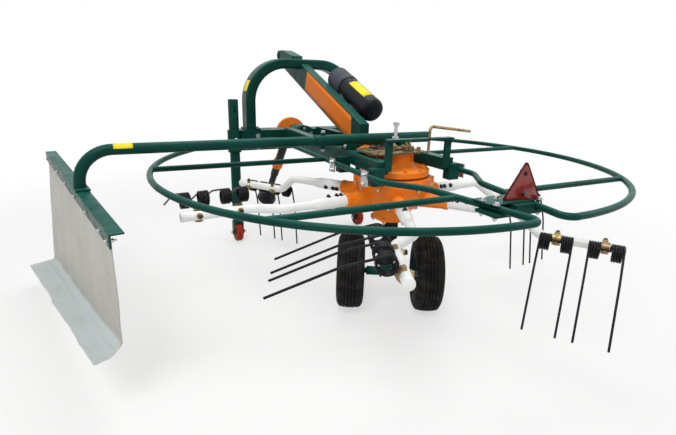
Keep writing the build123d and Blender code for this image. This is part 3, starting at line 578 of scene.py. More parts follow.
class MeshDraft:
    """Vertices and faces of a piece while it is being built, in the machine's frame."""

    # Shares of a hexagon head's width across the flats: half the width across its corners,
    # the head's and the washer's thickness, and the radii of the washer and its hole.
    CORNER = 0.577
    HEAD = 0.62
    WASHER = 0.12
    WASHER_REACH = 0.86
    WASHER_HOLE = 0.2
    # Radii of the thread and of its chamfered end, and the chamfer in millimetres.
    THREAD = 0.3
    THREAD_END = 0.22
    CHAMFER = 1.5

    def __init__(self) -> None:
        """Start empty."""
        self.points: list[Vector] = []
        self.faces: list[tuple[int, ...]] = []
        self.layout: list[Pair] = []

    def add(self, points: Iterable[Sequence[float]], faces: Iterable[Sequence[int]],
            place: Matrix | None = None) -> None:
        """Add vertices and faces.

        Args:
            points: New vertices.
            faces: Faces, by numbers within the new vertices.
            place: Matrix that puts them in the machine's frame.
        """
        start = len(self.points)
        for point in points:
            vector = Vector(point)
            self.points.append(place @ vector if place is not None else vector)
        for face in faces:
            self.faces.append(tuple(start + number for number in face))

    def rings(self, rings: Sequence[Sequence[Sequence[float]]], closed: bool = False,
              place: Matrix | None = None) -> None:
        """Skin a run of rings that have the same number of points.

        Args:
            rings: The rings in order.
            closed: Whether the last ring joins the first; otherwise both ends are capped.
            place: Matrix that puts them in the machine's frame.
        """
        count = len(rings[0])
        points = [point for ring in rings for point in ring]
        faces: list[tuple[int, ...]] = []
        for row in range(len(rings) if closed else len(rings) - 1):
            after = (row + 1) % len(rings)
            for column in range(count):
                turn = (column + 1) % count
                faces.append((row * count + column, row * count + turn,
                              after * count + turn, after * count + column))
        if not closed:
            faces.append(tuple(reversed(range(count))))
            faces.append(tuple((len(rings) - 1) * count + number for number in range(count)))
        self.add(points, faces, place)

    def lathe(self, profile: Sequence[Pair], steps: int, place: Matrix | None = None) -> None:
        """Turn a closed profile about the local Z axis.

        Args:
            profile: Radius and height of each corner.
            steps: Facets round the axis.
            place: Matrix that puts it in the machine's frame.
        """
        count = len(profile)
        points = [(radius * cosine, radius * sine, height)
                  for cosine, sine in circle(steps) for radius, height in profile]
        faces = []
        for step in range(steps):
            after = (step + 1) % steps
            for number in range(count):
                turn = (number + 1) % count
                faces.append((step * count + number, after * count + number,
                              after * count + turn, step * count + turn))
        self.add(points, faces, place)

    def wire(self, path: Sequence[Vector], radius: float, sides: int = 8,
             place: Matrix | None = None) -> None:
        """Round wire along a path.

        Args:
            path: Points close enough together to look smooth.
            radius: Wire radius.
            sides: Facets round the wire.
            place: Matrix that puts it in the machine's frame.
        """
        rings = []
        normal = path[1] - path[0]
        normal = normal.normalized().orthogonal().normalized()
        for number, point in enumerate(path):
            before = path[max(number - 1, 0)]
            after = path[min(number + 1, len(path) - 1)]
            along = (after - before).normalized()
            normal = (normal - along * normal.dot(along)).normalized()
            side = along.cross(normal)
            rings.append([point + (normal * cosine + side * sine) * radius
                          for cosine, sine in circle(sides)])
        self.rings(rings, place=place)

    def prism(self, outline: Sequence[Pair], low: float, high: float,
              place: Matrix | None = None) -> None:
        """Extrude an outline along the local Z axis.

        Args:
            outline: Corners, anticlockwise seen from +Z.
            low: Height of the lower face.
            high: Height of the upper face.
            place: Matrix that puts it in the machine's frame.
        """
        count = len(outline)
        points = [(x, y, low) for x, y in outline] + [(x, y, high) for x, y in outline]
        faces = [tuple(reversed(range(count))), tuple(range(count, 2 * count))]
        faces += [(n, (n + 1) % count, count + (n + 1) % count, count + n) for n in range(count)]
        self.add(points, faces, place)

    def sheet(self, columns: int, rows: int, surface: Callable[[float, float], Sequence[float]],
              place: Matrix | None = None) -> None:
        """Grid over a surface given by two shares from 0 to 1.

        Args:
            columns: Faces along the first share.
            rows: Faces along the second share.
            surface: Gives the point at both shares.
            place: Matrix that puts it in the machine's frame.
        """
        points = [surface(c / columns, r / rows) for r in range(rows + 1)
                  for c in range(columns + 1)]
        wide = columns + 1
        faces = [(r * wide + c, r * wide + c + 1, (r + 1) * wide + c + 1, (r + 1) * wide + c)
                 for r in range(rows) for c in range(columns)]
        self.add(points, faces, place)

    def bolt(self, place: Matrix, across: float, washer: bool = True, stub: float = 0.0) -> None:
        """Hexagon head with a chamfer, its washer, and the thread's end if it shows.

        Args:
            place: Matrix whose +Z points away from the surface.
            across: Width across the flats.
            washer: Whether a washer lies under the head.
            stub: Length of thread past a nut, or 0 for a bolt's head.
        """
        height = across * self.HEAD
        base = across * self.WASHER if washer else 0.0
        if washer:
            hole, reach = across * self.WASHER_HOLE, across * self.WASHER_REACH
            self.lathe([(hole, 0), (reach, 0), (reach, base), (hole, base)], 20, place)
        levels = ((self.CORNER, 0.0), (self.CORNER, 0.78), (0.5, 1.0), (0.25, 1.0))
        self.rings([[(x, y, base + height * level) for x, y in circle(6, across * radius)]
                    for radius, level in levels], place=place)
        if stub:
            end = base + height + stub
            self.lathe([(0.001, base), (across * self.THREAD, base), (across * self.THREAD, end),
                        (across * self.THREAD_END, end + self.CHAMFER), (0.001, end + self.CHAMFER)],
                       14, place)

    def build(self, name: str, paint: Paint, body: str = FIXED, bevel: float = 0.0,
              smooth: float = 35.0, thickness: float = 0.0) -> bpy.types.Object:
        """Make the Blender object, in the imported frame, riding on its body.

        Args:
            name: Name of the piece.
            paint: Its finish.
            body: The body that carries it.
            bevel: Width of the softened edges in millimetres, or 0.
            smooth: Angle under which edges are shaded smooth, in degrees.
            thickness: Thickness in millimetres added to a sheet, or 0.

        Returns:
            The new object.
        """
        mesh = bpy.data.meshes.new(name)
        mesh.from_pydata([point * MM + AXIS for point in self.points], [], self.faces)
        if self.layout:
            layer = mesh.uv_layers.new(name="cloth")
            for loop in mesh.loops:
                layer.data[loop.index].uv = self.layout[loop.vertex_index]
        work = bmesh.new()
        work.from_mesh(mesh)
        bmesh.ops.remove_doubles(work, verts=work.verts, dist=1e-6)
        bmesh.ops.recalc_face_normals(work, faces=work.faces)
        work.to_mesh(mesh)
        work.free()
        mesh.shade_smooth()
        mesh.set_sharp_from_angle(angle=math.radians(smooth))
        piece = bpy.data.objects.new(name, mesh)
        bpy.context.scene.collection.objects.link(piece)
        paint.dress(piece)
        if thickness:
            solid = piece.modifiers.new("thickness", "SOLIDIFY")
            solid.thickness = thickness * MM
            solid.offset = 0.0
        if bevel:
            soften(piece, bevel)
        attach(piece, body)
        LOG.info("%s on %s, %d faces", name, body, len(mesh.polygons))
        return piece


def soften(piece: bpy.types.Object, width: float) -> None:
    """Round the hard edges of a piece.

    Args:
        piece: The object.
        width: Width of the rounding in millimetres.
    """
    bevel = piece.modifiers.new("soft_edges", "BEVEL")
    bevel.width = width * MM
    bevel.segments = 2
    bevel.limit_method = "ANGLE"
    bevel.angle_limit = math.radians(38)
    bevel.harden_normals = True


def turned(angle: float, axis: str = "Z") -> Matrix:
    """Rotation about a main axis by an angle in degrees."""
    return Matrix.Rotation(math.radians(angle), 4, axis)


def at(x: float, y: float, z: float, facing: Sequence[float] = (0, 0, 1)) -> Matrix:
    """Matrix at a point whose +Z faces a direction.

    Args:
        x: Place to the right.
        y: Place forward.
        z: Height.
        facing: Direction of the local +Z.

    Returns:
        The matrix.
    """
    turn = Vector(facing).normalized().to_track_quat("Z", "Y").to_matrix().to_4x4()
    return Matrix.Translation((x, y, z)) @ turn


def rounded(points: Sequence[Vector], radius: float, steps: int = 6) -> list[Vector]:
    """Polyline whose corners are rounded.

    Args:
        points: Corners of the run.
        radius: Distance from a corner at which its rounding starts.
        steps: Points on each rounding.

    Returns:
        The rounded polyline.
    """
    made = [points[0]]
    for before, corner, after in zip(points, points[1:], points[2:]):
        start, end = (corner + (other - corner).normalized() * min(radius, (other - corner).length / 2)
                      for other in (before, after))
        for step in range(steps + 1):
            share = step / steps
            made.append(start * (1 - share) ** 2 + corner * (2 * share * (1 - share))
                        + end * share ** 2)
    made.append(points[-1])
    return made


def paint_nodes(paint: Paint, *names: str, soft: float = 0.0) -> None:
    """Give CAD nodes a finish.

    Args:
        paint: The finish.
        names: The nodes.
        soft: Width in millimetres of rounded edges, or 0.
    """
    for name in names:
        node = frame["nodes"][name]
        paint.dress(node)
        if soft:
            weld = node.modifiers.new("joined_corners", "WELD")
            weld.merge_threshold = 1e-5
            soften(node, soft)
        LOG.info("%s in %s", name, paint.value.name)


# ------------------------------------------------------------------ sub-assemblies
@dataclass
class Headstock:
    """Hitch arch, strut, crossbeam, parking stands and castors.

    Attributes:
        plane_y: Plane of the stands.
        arch_y: Middle plane of the arch.
        arch_half: Half the distance between the legs' centre lines.
        arch_top: Height of the crown's centre line.
        arch_bend: Radius of the bends.
        arch_depth: Radial size of the arch's box section.
        strut_fall: Fall of the strut per unit of length.
        strut_mid_z: Height of the strut's centre line 40 mm behind the plane.
        strut_section: Width and height of the strut.
        band_front: Front end of the strut's band.
        band_rear: Rear end of the band.
        band_floor: Height of the band's lowest edge.
        band_lean: How far the band's front edge leans back.
        film: Half the gap between a film's middle and the steel, in millimetres.
        foot_bolt: Place from the middle, inset and height of the foot plates' bolts.
        plate_bolts: Places from the middle and heights of the boss plates' bolts.
        plate_y: Half the depth over the boss plates.
        boss_circle: Radius of the bolts round the boss.
        input_z: Height of the boss.
        bush_at: Place of a top link bush on the right.
        linch_at: Place of a linch pin on the right.
        stand_x: Stand centre from the middle.
        pin_z: Height of the stands' pull pins.
        castor_radius: Castor wheel radius.
        castor_half: Half the width over a castor's fork.
    """

    plane_y: float = 1280.0
    arch_y: float = 1302.0
    arch_half: float = 397.0
    arch_top: float = 1288.0
    arch_bend: float = 264.0
    arch_depth: float = 68.0
    strut_fall: float = 0.368
    strut_mid_z: float = 1215.0
    strut_section: Pair = (60.0, 150.0)
    band_front: float = 1152.0
    band_rear: float = 436.0
    band_floor: float = 857.0
    band_lean: float = 42.0
    film: float = 0.5
    foot_bolt: Point = (349.0, 46.0, 842.0)
    plate_bolts: tuple[Pair, ...] = ((357.0, 710.0), (357.0, 790.0), (216.0, 712.0))
    plate_y: float = 72.0
    boss_circle: float = 66.0
    input_z: float = 768.0
    bush_at: Point = (39.0, 1682.0, 1355.0)
    linch_at: Point = (425.5, 1455.0, 735.0)
    stand_x: float = 515.0
    pin_z: float = 770.0
    castor_radius: float = 70.0
    castor_half: float = 46.0

    def build(self) -> None:
        """Dress the steel and add labels, pins and bolts."""
        paint_nodes(Paint.FRAME, "headstock_arch", "strut")
        paint_nodes(Paint.FRAME, "top_link_bracket", "hitch_crossbeam", "stand_leg_left",
                    "stand_leg_right", soft=1.6)
        paint_nodes(Paint.ZINC, "lower_hitch_pins")
        paint_nodes(Paint.CASTOR, "castor_wheel_left", "castor_wheel_right")
        self.arch_label()
        self.strut_band()
        self.bolts()
        self.bushes()
        self.linch_pins()
        for name, side in SIDES:
            self.stand_pin(name, side)

    def arch_label(self) -> None:
        """Blank yellow label round the outside of the left bend."""
        reach = self.arch_bend + self.arch_depth / 2 + self.film
        middle_x, middle_z = self.arch_bend - self.arch_half, self.arch_top - self.arch_bend
        draft = MeshDraft()

        def surface(share: float, across: float) -> Point:
            """Point of the label, 15 degrees long and 86 mm wide."""
            angle = math.radians(14 + 15 * share)
            return (middle_x - reach * math.cos(angle), self.arch_y - 46 + 86 * across,
                    middle_z + reach * math.sin(angle))

        draft.sheet(12, 4, surface)
        draft.build("arch_label", Paint.YELLOW, thickness=0.6)

    def strut_band(self) -> None:
        """Blank orange film on the strut's left side."""
        reach = self.strut_section[1] / 2 - 3
        run = self.band_rear - self.band_front
        draft = MeshDraft()

        def surface(share: float, across: float) -> Point:
            """Point of the film, cut level where it meets the band's floor.

            Args:
                share: Share of the way to the rear.
                across: Share of the way up.

            Returns:
                The point.
            """
            y = self.band_front + run * share - self.band_lean * across * (1 - share)
            middle = self.strut_mid_z - (self.plane_y - 40 - y) * self.strut_fall
            low = max(middle - reach, self.band_floor)
            return (-self.strut_section[0] / 2 - self.film, y, low + (middle + reach - low) * across)

        draft.sheet(40, 4, surface)
        draft.build("strut_band", Paint.ORANGE_FILM, thickness=0.6)

    def bolts(self) -> None:
        """Bolts of the arch's foot plates, the boss plates and the boss."""
        draft = MeshDraft()
        foot_x, inset, foot_z = self.foot_bolt
        for side in (-1, 1):
            for shift in (-inset, inset):
                draft.bolt(at(side * foot_x, self.arch_y + shift, foot_z), 17)
            for x, height in self.plate_bolts:
                draft.bolt(at(side * x, self.arch_y - self.plate_y, height, (0, -1, 0)), 19)
                draft.bolt(at(side * x, self.arch_y + self.plate_y, height, (0, 1, 0)), 19, stub=5)
        for x, height in circle(6, self.boss_circle, 0.5):
            draft.bolt(at(x, self.arch_y - 78, self.input_z + height, (0, -1, 0)), 13)
        draft.build("headstock_bolts", Paint.ZINC)

    def bushes(self) -> None:
        """Bushes on both sides of the top link bracket."""
        draft = MeshDraft()
        x, y, z = self.bush_at
        for side in (-1, 1):
            draft.lathe([(9.9, 0), (20, 0), (20, 5), (18.5, 6.5), (9.9, 6.5)], 28,
                        at(side * x, y, z, (side, 0, 0)))
        draft.build("top_link_bushes", Paint.FRAME, bevel=0.6)

    def linch_pins(self) -> None:
        """Linch pins through the hitch pins, each with its sprung ring."""
        draft = MeshDraft()
        _, y, z = self.linch_at
        for side in (-1, 1):
            x = side * self.linch_at[0]
            draft.lathe([(0.01, -24), (4.8, -24), (4.8, 22), (7, 24), (7, 27), (0.01, 27)], 14,
                        at(x, y, z))
            ring = [Vector((x + 14 * math.cos(a), y + 17 * math.sin(a) - 17, z + 24))
                    for a in (math.tau * s / 24 + math.pi / 2 for s in range(25))]
            draft.wire(ring, 1.7, 6)
        draft.build("linch_pins", Paint.GOLD)

    def stand_pin(self, name: str, side: int) -> None:
        """Pull pin through a stand socket with its ring, and the castor's bolt.

        Args:
            name: Name of the side.
            side: -1 on the left, 1 on the right.
        """
        x, y, z = side * self.stand_x, self.plane_y, self.pin_z
        draft = MeshDraft()
        draft.lathe([(0.01, -60), (7, -60), (7, 0), (11, 0), (11, 9), (7, 13), (0.01, 13)], 16,
                    at(x, y - 47, z, (0, -1, 0)))
        ring = [Vector((x + 15 * math.sin(a), y - 63, z - 14 + 15 * math.cos(a)))
                for a in (math.tau * s / 26 for s in range(27))]
        draft.wire(ring, 2.0, 6)
        draft.build(f"stand_pin_{name}", Paint.ZINC)
        bolts = MeshDraft()
        for way, stub in ((-1, 0), (1, 2)):
            bolts.bolt(at(x + way * self.castor_half, y, self.castor_radius, (way, 0, 0)), 17, stub=stub)
        bolts.build(f"castor_bolt_{name}", Paint.ZINC, f"stand_{name}")


@dataclass
class Frame:
    """Beams, portal, tube guard, rear bracket and reflector.

    Attributes:
        block_ys: Places of the guard's clamp blocks.
        rail_x: Guard rail from the middle.
        guard_z: Height of the guard's tubes.
        guard_tube: Diameter of the guard's tubes.
        beam_z: Underside of the beams.
        web_ys: Places of the web plate's bolts.
        strap: Outline of the strap over the tubes' rear ends.
        strap_y: Middle of the strap.
        rear_bolts_at: Places of the bolts through the rear plates.
        reflector_at: Foot of the reflector.
        reflector_yaw: Turn of the reflector in degrees.
        reflector_side: Side of the triangle.
    """

    block_ys: Pair = (154.0, -182.0)
    rail_x: float = 265.0
    guard_z: float = 781.0
    guard_tube: float = 26.9
    beam_z: float = 785.0
    web_ys: Pair = (372.0, 518.0)
    strap: tuple[Pair, ...] = ((-125, -60), (125, -60), (125, 25), (100, 40), (-100, 40), (-125, 25))
    strap_y: float = -770.0
    rear_bolts_at: tuple[Pair, ...] = ((-108.0, -815.0), (-108.0, -748.0), (-42.0, -748.0),
                                       (12.0, -748.0), (108.0, -815.0), (108.0, -748.0))
    reflector_at: Pair = (40.0, -788.0)
    reflector_yaw: float = -8.0
    reflector_side: float = 175.0

    def build(self) -> None:
        """Dress the frame and add its bolts and reflector."""
        paint_nodes(Paint.FRAME, "guard_left", "guard_right")
        paint_nodes(Paint.FRAME, "main_beams", "web_plate", "portal", "guard_rear_plate", soft=1.8)
        paint_nodes(Paint.ZINC, "guard_clamp_plates", soft=1.2)
        self.clamp_bolts()
        self.rear_bolts()
        self.reflector()

    @staticmethod
    def beam_x(y: float) -> float:
        """Place of the right beam's middle line at y; the beams spread toward the rear."""
        front_x, front_y, run, spread = 125, 1230, 1420, 65
        return front_x + (front_y - y) / run * spread

    def clamp_bolts(self) -> None:
        """Two bolts on each cap plate, and those of the web plate and portal."""
        draft = MeshDraft()
        for side in (-1, 1):
            x = side * (self.rail_x + self.guard_tube / 2 + 8)
            for y in self.block_ys:
                for height in (self.beam_z - 33, self.beam_z + 9):
                    draft.bolt(at(x, y, height, (side, 0, 0)), 17)
            for y in self.web_ys:
                draft.bolt(at(side * self.beam_x(y), y, self.beam_z + 68), 15)
        draft.build("frame_bolts", Paint.ZINC)

    def rear_bolts(self) -> None:
        """Bolts and the strap over the tubes at the guard's rear."""
        reach = self.guard_tube / 2
        strap = MeshDraft()
        strap.prism(self.strap, 0, 5, at(0, self.strap_y, self.guard_z + reach))
        strap.build("rear_strap", Paint.FRAME, bevel=1.2)
        draft = MeshDraft()
        for x, y in self.rear_bolts_at:
            draft.bolt(at(x, y, self.guard_z + reach + 5), 15)
            draft.bolt(at(x, y, self.guard_z - reach - 12, (0, 0, -1)), 15, stub=4)
        draft.build("rear_bolts", Paint.ZINC)

    @staticmethod
    def triangle(side: float, corner: float) -> list[Pair]:
        """Rounded triangle with its centre at the origin.

        Args:
            side: Side of the sharp triangle.
            corner: Radius of its corners.

        Returns:
            Its corners, anticlockwise.
        """
        reach = side / math.sqrt(3) - 2 * corner
        points = []
        for number in range(3):
            angle = math.radians(90 + 120 * number)
            for step in range(7):
                turn = angle + math.radians(-60 + 20 * step)
                points.append((reach * math.cos(angle) + corner * math.cos(turn),
                               reach * math.sin(angle) + corner * math.sin(turn)))
        return points

    def reflector(self) -> None:
        """Triangular lens in a raised dark border, with two screws."""
        height = self.reflector_side * math.sqrt(3) / 2
        base = self.guard_z + self.guard_tube / 2 + 2
        place = (Matrix.Translation((*self.reflector_at, base + height / 3))
                 @ turned(self.reflector_yaw) @ turned(90, "X"))
        # Side of the triangle and height of each ring, from the back to the front.
        border_rings = ((175, 0), (175, 4.5), (171, 6.5), (161, 6.5), (158, 4.2))
        lens_rings = ((157, 4.0), (157, 5.0), (153, 6.0))
        for name, paint, corner, levels in (("reflector_border", Paint.BORDER, 9, border_rings),
                                            ("reflector_lens", Paint.LENS, 8, lens_rings)):
            draft = MeshDraft()
            draft.rings([[(x, y, level) for x, y in self.triangle(side, corner)]
                         for side, level in levels], place=place)
            draft.build(name, paint, smooth=25)
        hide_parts("reflector")
        screws = MeshDraft()
        for level in (52.0, -22.0):
            screws.lathe([(0.01, 0), (9, 0), (9, 1.5), (6, 4), (0.01, 4.6)], 20,
                         place @ Matrix.Translation((0, level, 6.0)))
        screws.build("reflector_screws", Paint.BLACKED)


@dataclass
class GearHead:
    """Gearbox, shaft tube, column, cam plate and the controls on the portal.

    Attributes:
        cover_top: Height of the cover's flange.
        bolt_circle: Radius of the cover's bolts.
        flange_circle: Radius of the input flange's bolts.
        shield_circle: Radius of the shield's screws.
        input_z: Height of the input shaft.
        head_y: Plane of the headstock.
        cam_top: Upper face of the cam plate.
        lever: Outline of the lever on the cam plate.
        sleeve_at: Set screws' place along the curtain's sleeve, and the sleeve's y and z.
    """

    cover_top: float = 785.0
    bolt_circle: float = 163.0
    flange_circle: float = 51.0
    shield_circle: float = 56.0
    input_z: float = 768.0
    head_y: float = 1280.0
    cam_top: float = 866.0
    lever: tuple[Pair, ...] = ((-30, -34), (20, -38), (96, -92), (112, -84), (110, -62), (58, -18),
                               (24, 26), (-26, 24))
    sleeve_at: Point = (-320.0, 197.0, 895.0)

    def build(self) -> None:
        """Dress the castings and add bolts, plug, lever, spring and grease nipples."""
        paint_nodes(Paint.GEAR, "gearbox_housing", "input_shield")
        paint_nodes(Paint.FRAME, "input_tube", "curtain_sleeve")
        paint_nodes(Paint.STEEL, "input_yoke")
        paint_nodes(Paint.BLACK, "column")
        paint_nodes(Paint.CAM, "cam_plate", soft=1.2)
        paint_nodes(Paint.GOLD, "grease_block", "latch_rod")
        paint_nodes(Paint.ZINC, "stop_screw")
        self.cover_bolts()
        self.cam_parts()
        self.set_screws()

    def cover_bolts(self) -> None:
        """Bolts round the cover, on the input flange and on the shield, and the filler plug."""
        draft = MeshDraft()
        for x, y in circle(12, self.bolt_circle, 0.5):
            # The neck of the housing stands where the front bolts would be.
            if y < 75 or abs(x) > 95:
                draft.bolt(at(x, y, self.cover_top - 3), 13)
        for x, height in circle(6, self.flange_circle):
            draft.bolt(at(x, 290, self.input_z + 14 + height, (0, -1, 0)), 12, washer=False)
        for x, height in circle(4, self.shield_circle, 0.5):
            draft.bolt(at(x, self.head_y + 219, self.input_z + height, (0, 1, 0)), 12)
        draft.build("gearbox_bolts", Paint.GEAR)
        plug = MeshDraft()
        plug.bolt(at(0, 170, 850, (0, 0.12, 1)), 17)
        plug.build("filler_plug", Paint.STEEL)

    def cam_parts(self) -> None:
        """Lever, spring, nuts and grease nipples on the cam plate."""
        top = self.cam_top
        lever = MeshDraft()
        lever.prism(self.lever, 0, 7, at(0, 0, top + 0.2))
        lever.build("cam_lever", Paint.CAM, bevel=1.0)
        bolts = MeshDraft()
        for x, y, across, lift in ((-12, -8, 24, 7.2), (-150, -70, 15, 0), (-150, 60, 15, 0),
                                   (84, 60, 15, 0)):
            bolts.bolt(at(x, y, top + lift), across)
        for x, lift in ((34, 34), (56, 30)):
            bolts.lathe([(0.01, 0), (4, 0), (4, 8), (2.6, 10), (3.4, 14), (0.01, 15)], 12,
                        at(x, -44, top + lift))
        bolts.build("cam_bolts", Paint.GOLD)
        spring = MeshDraft()
        turns, length, steps, reach = 9, 92.0, 180, 8
        coil = []
        for step in range(steps + 1):
            angle = math.tau * turns * step / steps
            coil.append(Vector((-128 + length * step / steps, 40 + reach * math.cos(angle),
                                top + 12 + reach * math.sin(angle))))
        spring.wire(coil, 1.6, 6)
        spring.build("lever_spring", Paint.BLACKED)

    def set_screws(self) -> None:
        """Set screws on the cross sleeve and nuts on its saddles."""
        draft = MeshDraft()
        x, y, z = self.sleeve_at
        for way in (1, -1):
            draft.bolt(at(x, y, z + way * 42, (0, 0, way)), 19, washer=False)
        for side in (-1, 1):
            for shift in (-23, 23):
                draft.bolt(at(side * Frame.beam_x(y) + side * 28, y + shift, z - 27, (side, 0, 0)), 13)
        draft.build("sleeve_screws", Paint.ZINC)


@dataclass
class PaperTube:
    """Screw-capped tube for the papers, beside the strut.

    Attributes:
        top: Upper end of its axis.
        fall: Fall of its axis per unit of length, as the strut's.
        radius: Radius of the cap.
        facets: Facets round the cap; four make a grip rib and its groove.
        grip: Half the depth of a groove.
        cap_rings: Height, inset and share of the grip of each ring of the cap.
    """

    top: Point = (118.0, 925.0, 1200.0)
    fall: float = 0.368
    radius: float = 78.0
    facets: int = 144
    grip: float = 0.9
    cap_rings: tuple[Point, ...] = ((0, 12, 0), (0, 7, 0), (2, 3.5, 0), (6, 1.2, 0), (12, 1.2, 1),
                                    (120, 1.2, 1), (126, 1.2, 0), (134, 0, 0), (162, 0, 0),
                                    (168, 1.5, 0), (168, 5.8, 0))

    def frame(self) -> Matrix:
        """Matrix whose +Z runs down the tube's axis."""
        return Matrix.Translation(self.top) @ turned(90 + math.degrees(math.atan(self.fall)), "X")

    def build(self) -> None:
        """Dress the tube and cradle, and add cap, label and screws."""
        paint_nodes(Paint.PLASTIC, "canister_body", "canister_cradle")
        self.cap()
        self.label()
        screws = MeshDraft()
        for level in (255.0, 465.0):
            screws.bolt(self.frame() @ at(-52, -self.radius, level, (0, -1, 0)), 11)
        screws.build("cradle_screws", Paint.ZINC)

    def cap(self) -> None:
        """Screw cap with grip ribs."""
        draft = MeshDraft()
        rings = []
        for level, inset, grip in self.cap_rings:
            ring = []
            for step, (cosine, sine) in enumerate(circle(self.facets)):
                notch = self.grip * grip * (1 if step % 4 < 2 else -1)
                reach = self.radius - inset - self.grip * grip + notch
                ring.append((reach * cosine, reach * sine, level))
            rings.append(ring)
        draft.rings(rings, place=self.frame())
        lid = draft.build("canister_lid", Paint.LID, smooth=30)
        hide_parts("canister_cap")

    def label(self) -> None:
        """Blank yellow label on the tube."""
        draft = MeshDraft()
        reach = self.radius - 6 + 0.4

        def surface(share: float, across: float) -> Point:
            """Point of the label, 52 degrees round and 208 mm long."""
            angle = math.radians(74 + 52 * share)
            return (reach * math.cos(angle), reach * math.sin(angle), 236 + 208 * across)

        draft.sheet(16, 4, surface, self.frame())
        draft.build("canister_label", Paint.YELLOW, thickness=0.6)


@dataclass
class RunningGear:
    """Swivelling carriage with its two ribbed tyres.

    Attributes:
        yaw: Parked turn of the carriage in degrees.
        trail: Axle behind the swivel axis.
        track: Distance between the wheels' middles.
        diameter: Tyre diameter.
        width: Tyre width.
        bead: Radius of the rim's bead seat.
        edges: Places of the ribs' edges across the tread.
        crown: How much lower the tread's shoulders stand than its middle.
        groove: Depth of the grooves.
        draft_width: How far a groove's wall leans.
        sipe: Depth of the cuts across the shoulder ribs.
        zigzag: How far a groove swings to either side.
        facets: Facets round the tyre.
        pitch: Facets in one zigzag; there are two sipes to it.
        hub_circle: Radius of the wheel bolts' circle.
    """

    yaw: float = -29.0
    trail: float = 42.0
    track: float = 412.0
    diameter: float = 410.0
    width: float = 145.0
    bead: float = 103.0
    edges: tuple[float, ...] = (-47.0, -29.0, -23.0, -10.5, -5.0, 5.0, 10.5, 23.0, 29.0, 47.0)
    crown: float = 5.0
    groove: float = 6.5
    draft_width: float = 1.2
    sipe: float = 2.2
    zigzag: float = 1.7
    facets: int = 240
    pitch: int = 12
    hub_circle: float = 56.0

    def build(self) -> None:
        """Dress the carriage, replace the tyres and add bolts."""
        paint_nodes(Paint.FRAME, "carriage", "axle", soft=1.2)
        paint_nodes(Paint.FRAME, "rim_left", "rim_right")
        for name, side in SIDES:
            self.tyre(name, side)
            self.wheel_bolts(name, side)
        draft = MeshDraft()
        for side in (-1, 1):
            for height in (232, 300):
                draft.bolt(turned(self.yaw) @ at(side * 48, 4, height, (side, 0, 0)), 17)
        draft.lathe([(0.01, 0), (4, 0), (4, 9), (2.6, 11), (3.4, 15), (0.01, 16)], 12,
                    turned(self.yaw) @ at(0, -45, 366, (0, -1, 0)))
        draft.build("carriage_bolts", Paint.ZINC, "running_gear")

    def wheel(self, side: int) -> Matrix:
        """Matrix whose +Z runs out along a wheel's axle."""
        middle = Matrix.Translation((side * self.track / 2, -self.trail, self.diameter / 2))
        return turned(self.yaw) @ middle @ turned(90 * side, "Y")

    def section(self, step: int) -> list[Pair]:
        """Section of the tyre at a facet.

        Args:
            step: Number of the facet.

        Returns:
            Radius and place across the tyre of each corner, from one bead to the other.
        """
        radius, half, bead = self.diameter / 2, self.width / 2, self.bead
        phase = (step % self.pitch) / self.pitch
        zigzag = (abs(phase * 2 - 1) * 2 - 1) * self.zigzag
        sipe = self.sipe if step % (self.pitch // 2) == 0 else 0.0
        # Bead, two moulded rings on the side, the side's widest place and the shoulder.
        wall = [(bead, half - 12), (bead + 7, half - 5), (bead + 12, half - 5.5),
                (bead + 16, half - 2.2), (bead + 34, half - 1.2), (bead + 36, half - 0.2),
                (bead + 40, half - 0.2), (bead + 42, half - 1.0), (bead + 52, half),
                (radius - 29, half - 3), (radius - 19, half - 8), (radius - 10, half - 14.5),
                (radius - 5.5 - sipe, half - 20)]
        profile = [(reach, -across) for reach, across in wall]
        shoulder = self.edges[-1]
        for number, edge in enumerate(self.edges):
            level = radius - self.crown * (abs(edge) / shoulder) ** 2.4
            if abs(edge) == shoulder:
                profile.append((level - sipe, edge))
                continue
            # Even edges start a rib and odd ones end it.
            way = -1 if number % 2 == 0 else 1
            top = (level - (sipe if abs(edge) > 20 else 0.0), edge + zigzag)
            low = (level - self.groove, edge + zigzag + way * self.draft_width)
            profile += [low, top] if way < 0 else [top, low]
        return profile + wall[::-1]

    def tyre(self, name: str, side: int) -> None:
        """Ribbed implement tyre with zigzag grooves, sipes and moulded side rings.

        Args:
            name: Name of the side.
            side: -1 on the left, 1 on the right.
        """
        rings = [[(reach * cosine, reach * sine, across) for reach, across in self.section(step)]
                 for step, (cosine, sine) in enumerate(circle(self.facets))]
        draft = MeshDraft()
        draft.rings(rings, closed=True, place=self.wheel(side))
        piece = draft.build(f"ribbed_tyre_{name}", Paint.RUBBER, f"wheel_{name}", smooth=32)
        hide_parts(f"tyre_{name}")

    def wheel_bolts(self, name: str, side: int) -> None:
        """Wheel bolts, hub cap and valve.

        Args:
            name: Name of the side.
            side: -1 on the left, 1 on the right.
        """
        body, wheel = f"wheel_{name}", self.wheel(side)
        draft = MeshDraft()
        for turn, face in ((0, 6), (180, 8)):
            for x, y in circle(5, self.hub_circle):
                draft.bolt(wheel @ turned(turn, "X") @ at(x, y, face), 15)
        draft.build(f"wheel_bolts_{name}", Paint.ZINC, body)
        cap = MeshDraft()
        cap.lathe([(0.01, 66), (18, 66), (24, 63), (26, 57), (26, 44), (0.01, 44)], 28, wheel)
        cap.build(f"hub_cap_{name}", Paint.BLACK, body, smooth=30)
        valve = MeshDraft()
        stem = [Vector((92, 0, 18)), Vector((80, 0, 26)), Vector((74, 0, 44))]
        valve.wire(rounded(stem, 8), 3.6, 10, wheel)
        valve.build(f"valve_{name}", Paint.RUBBER, body)


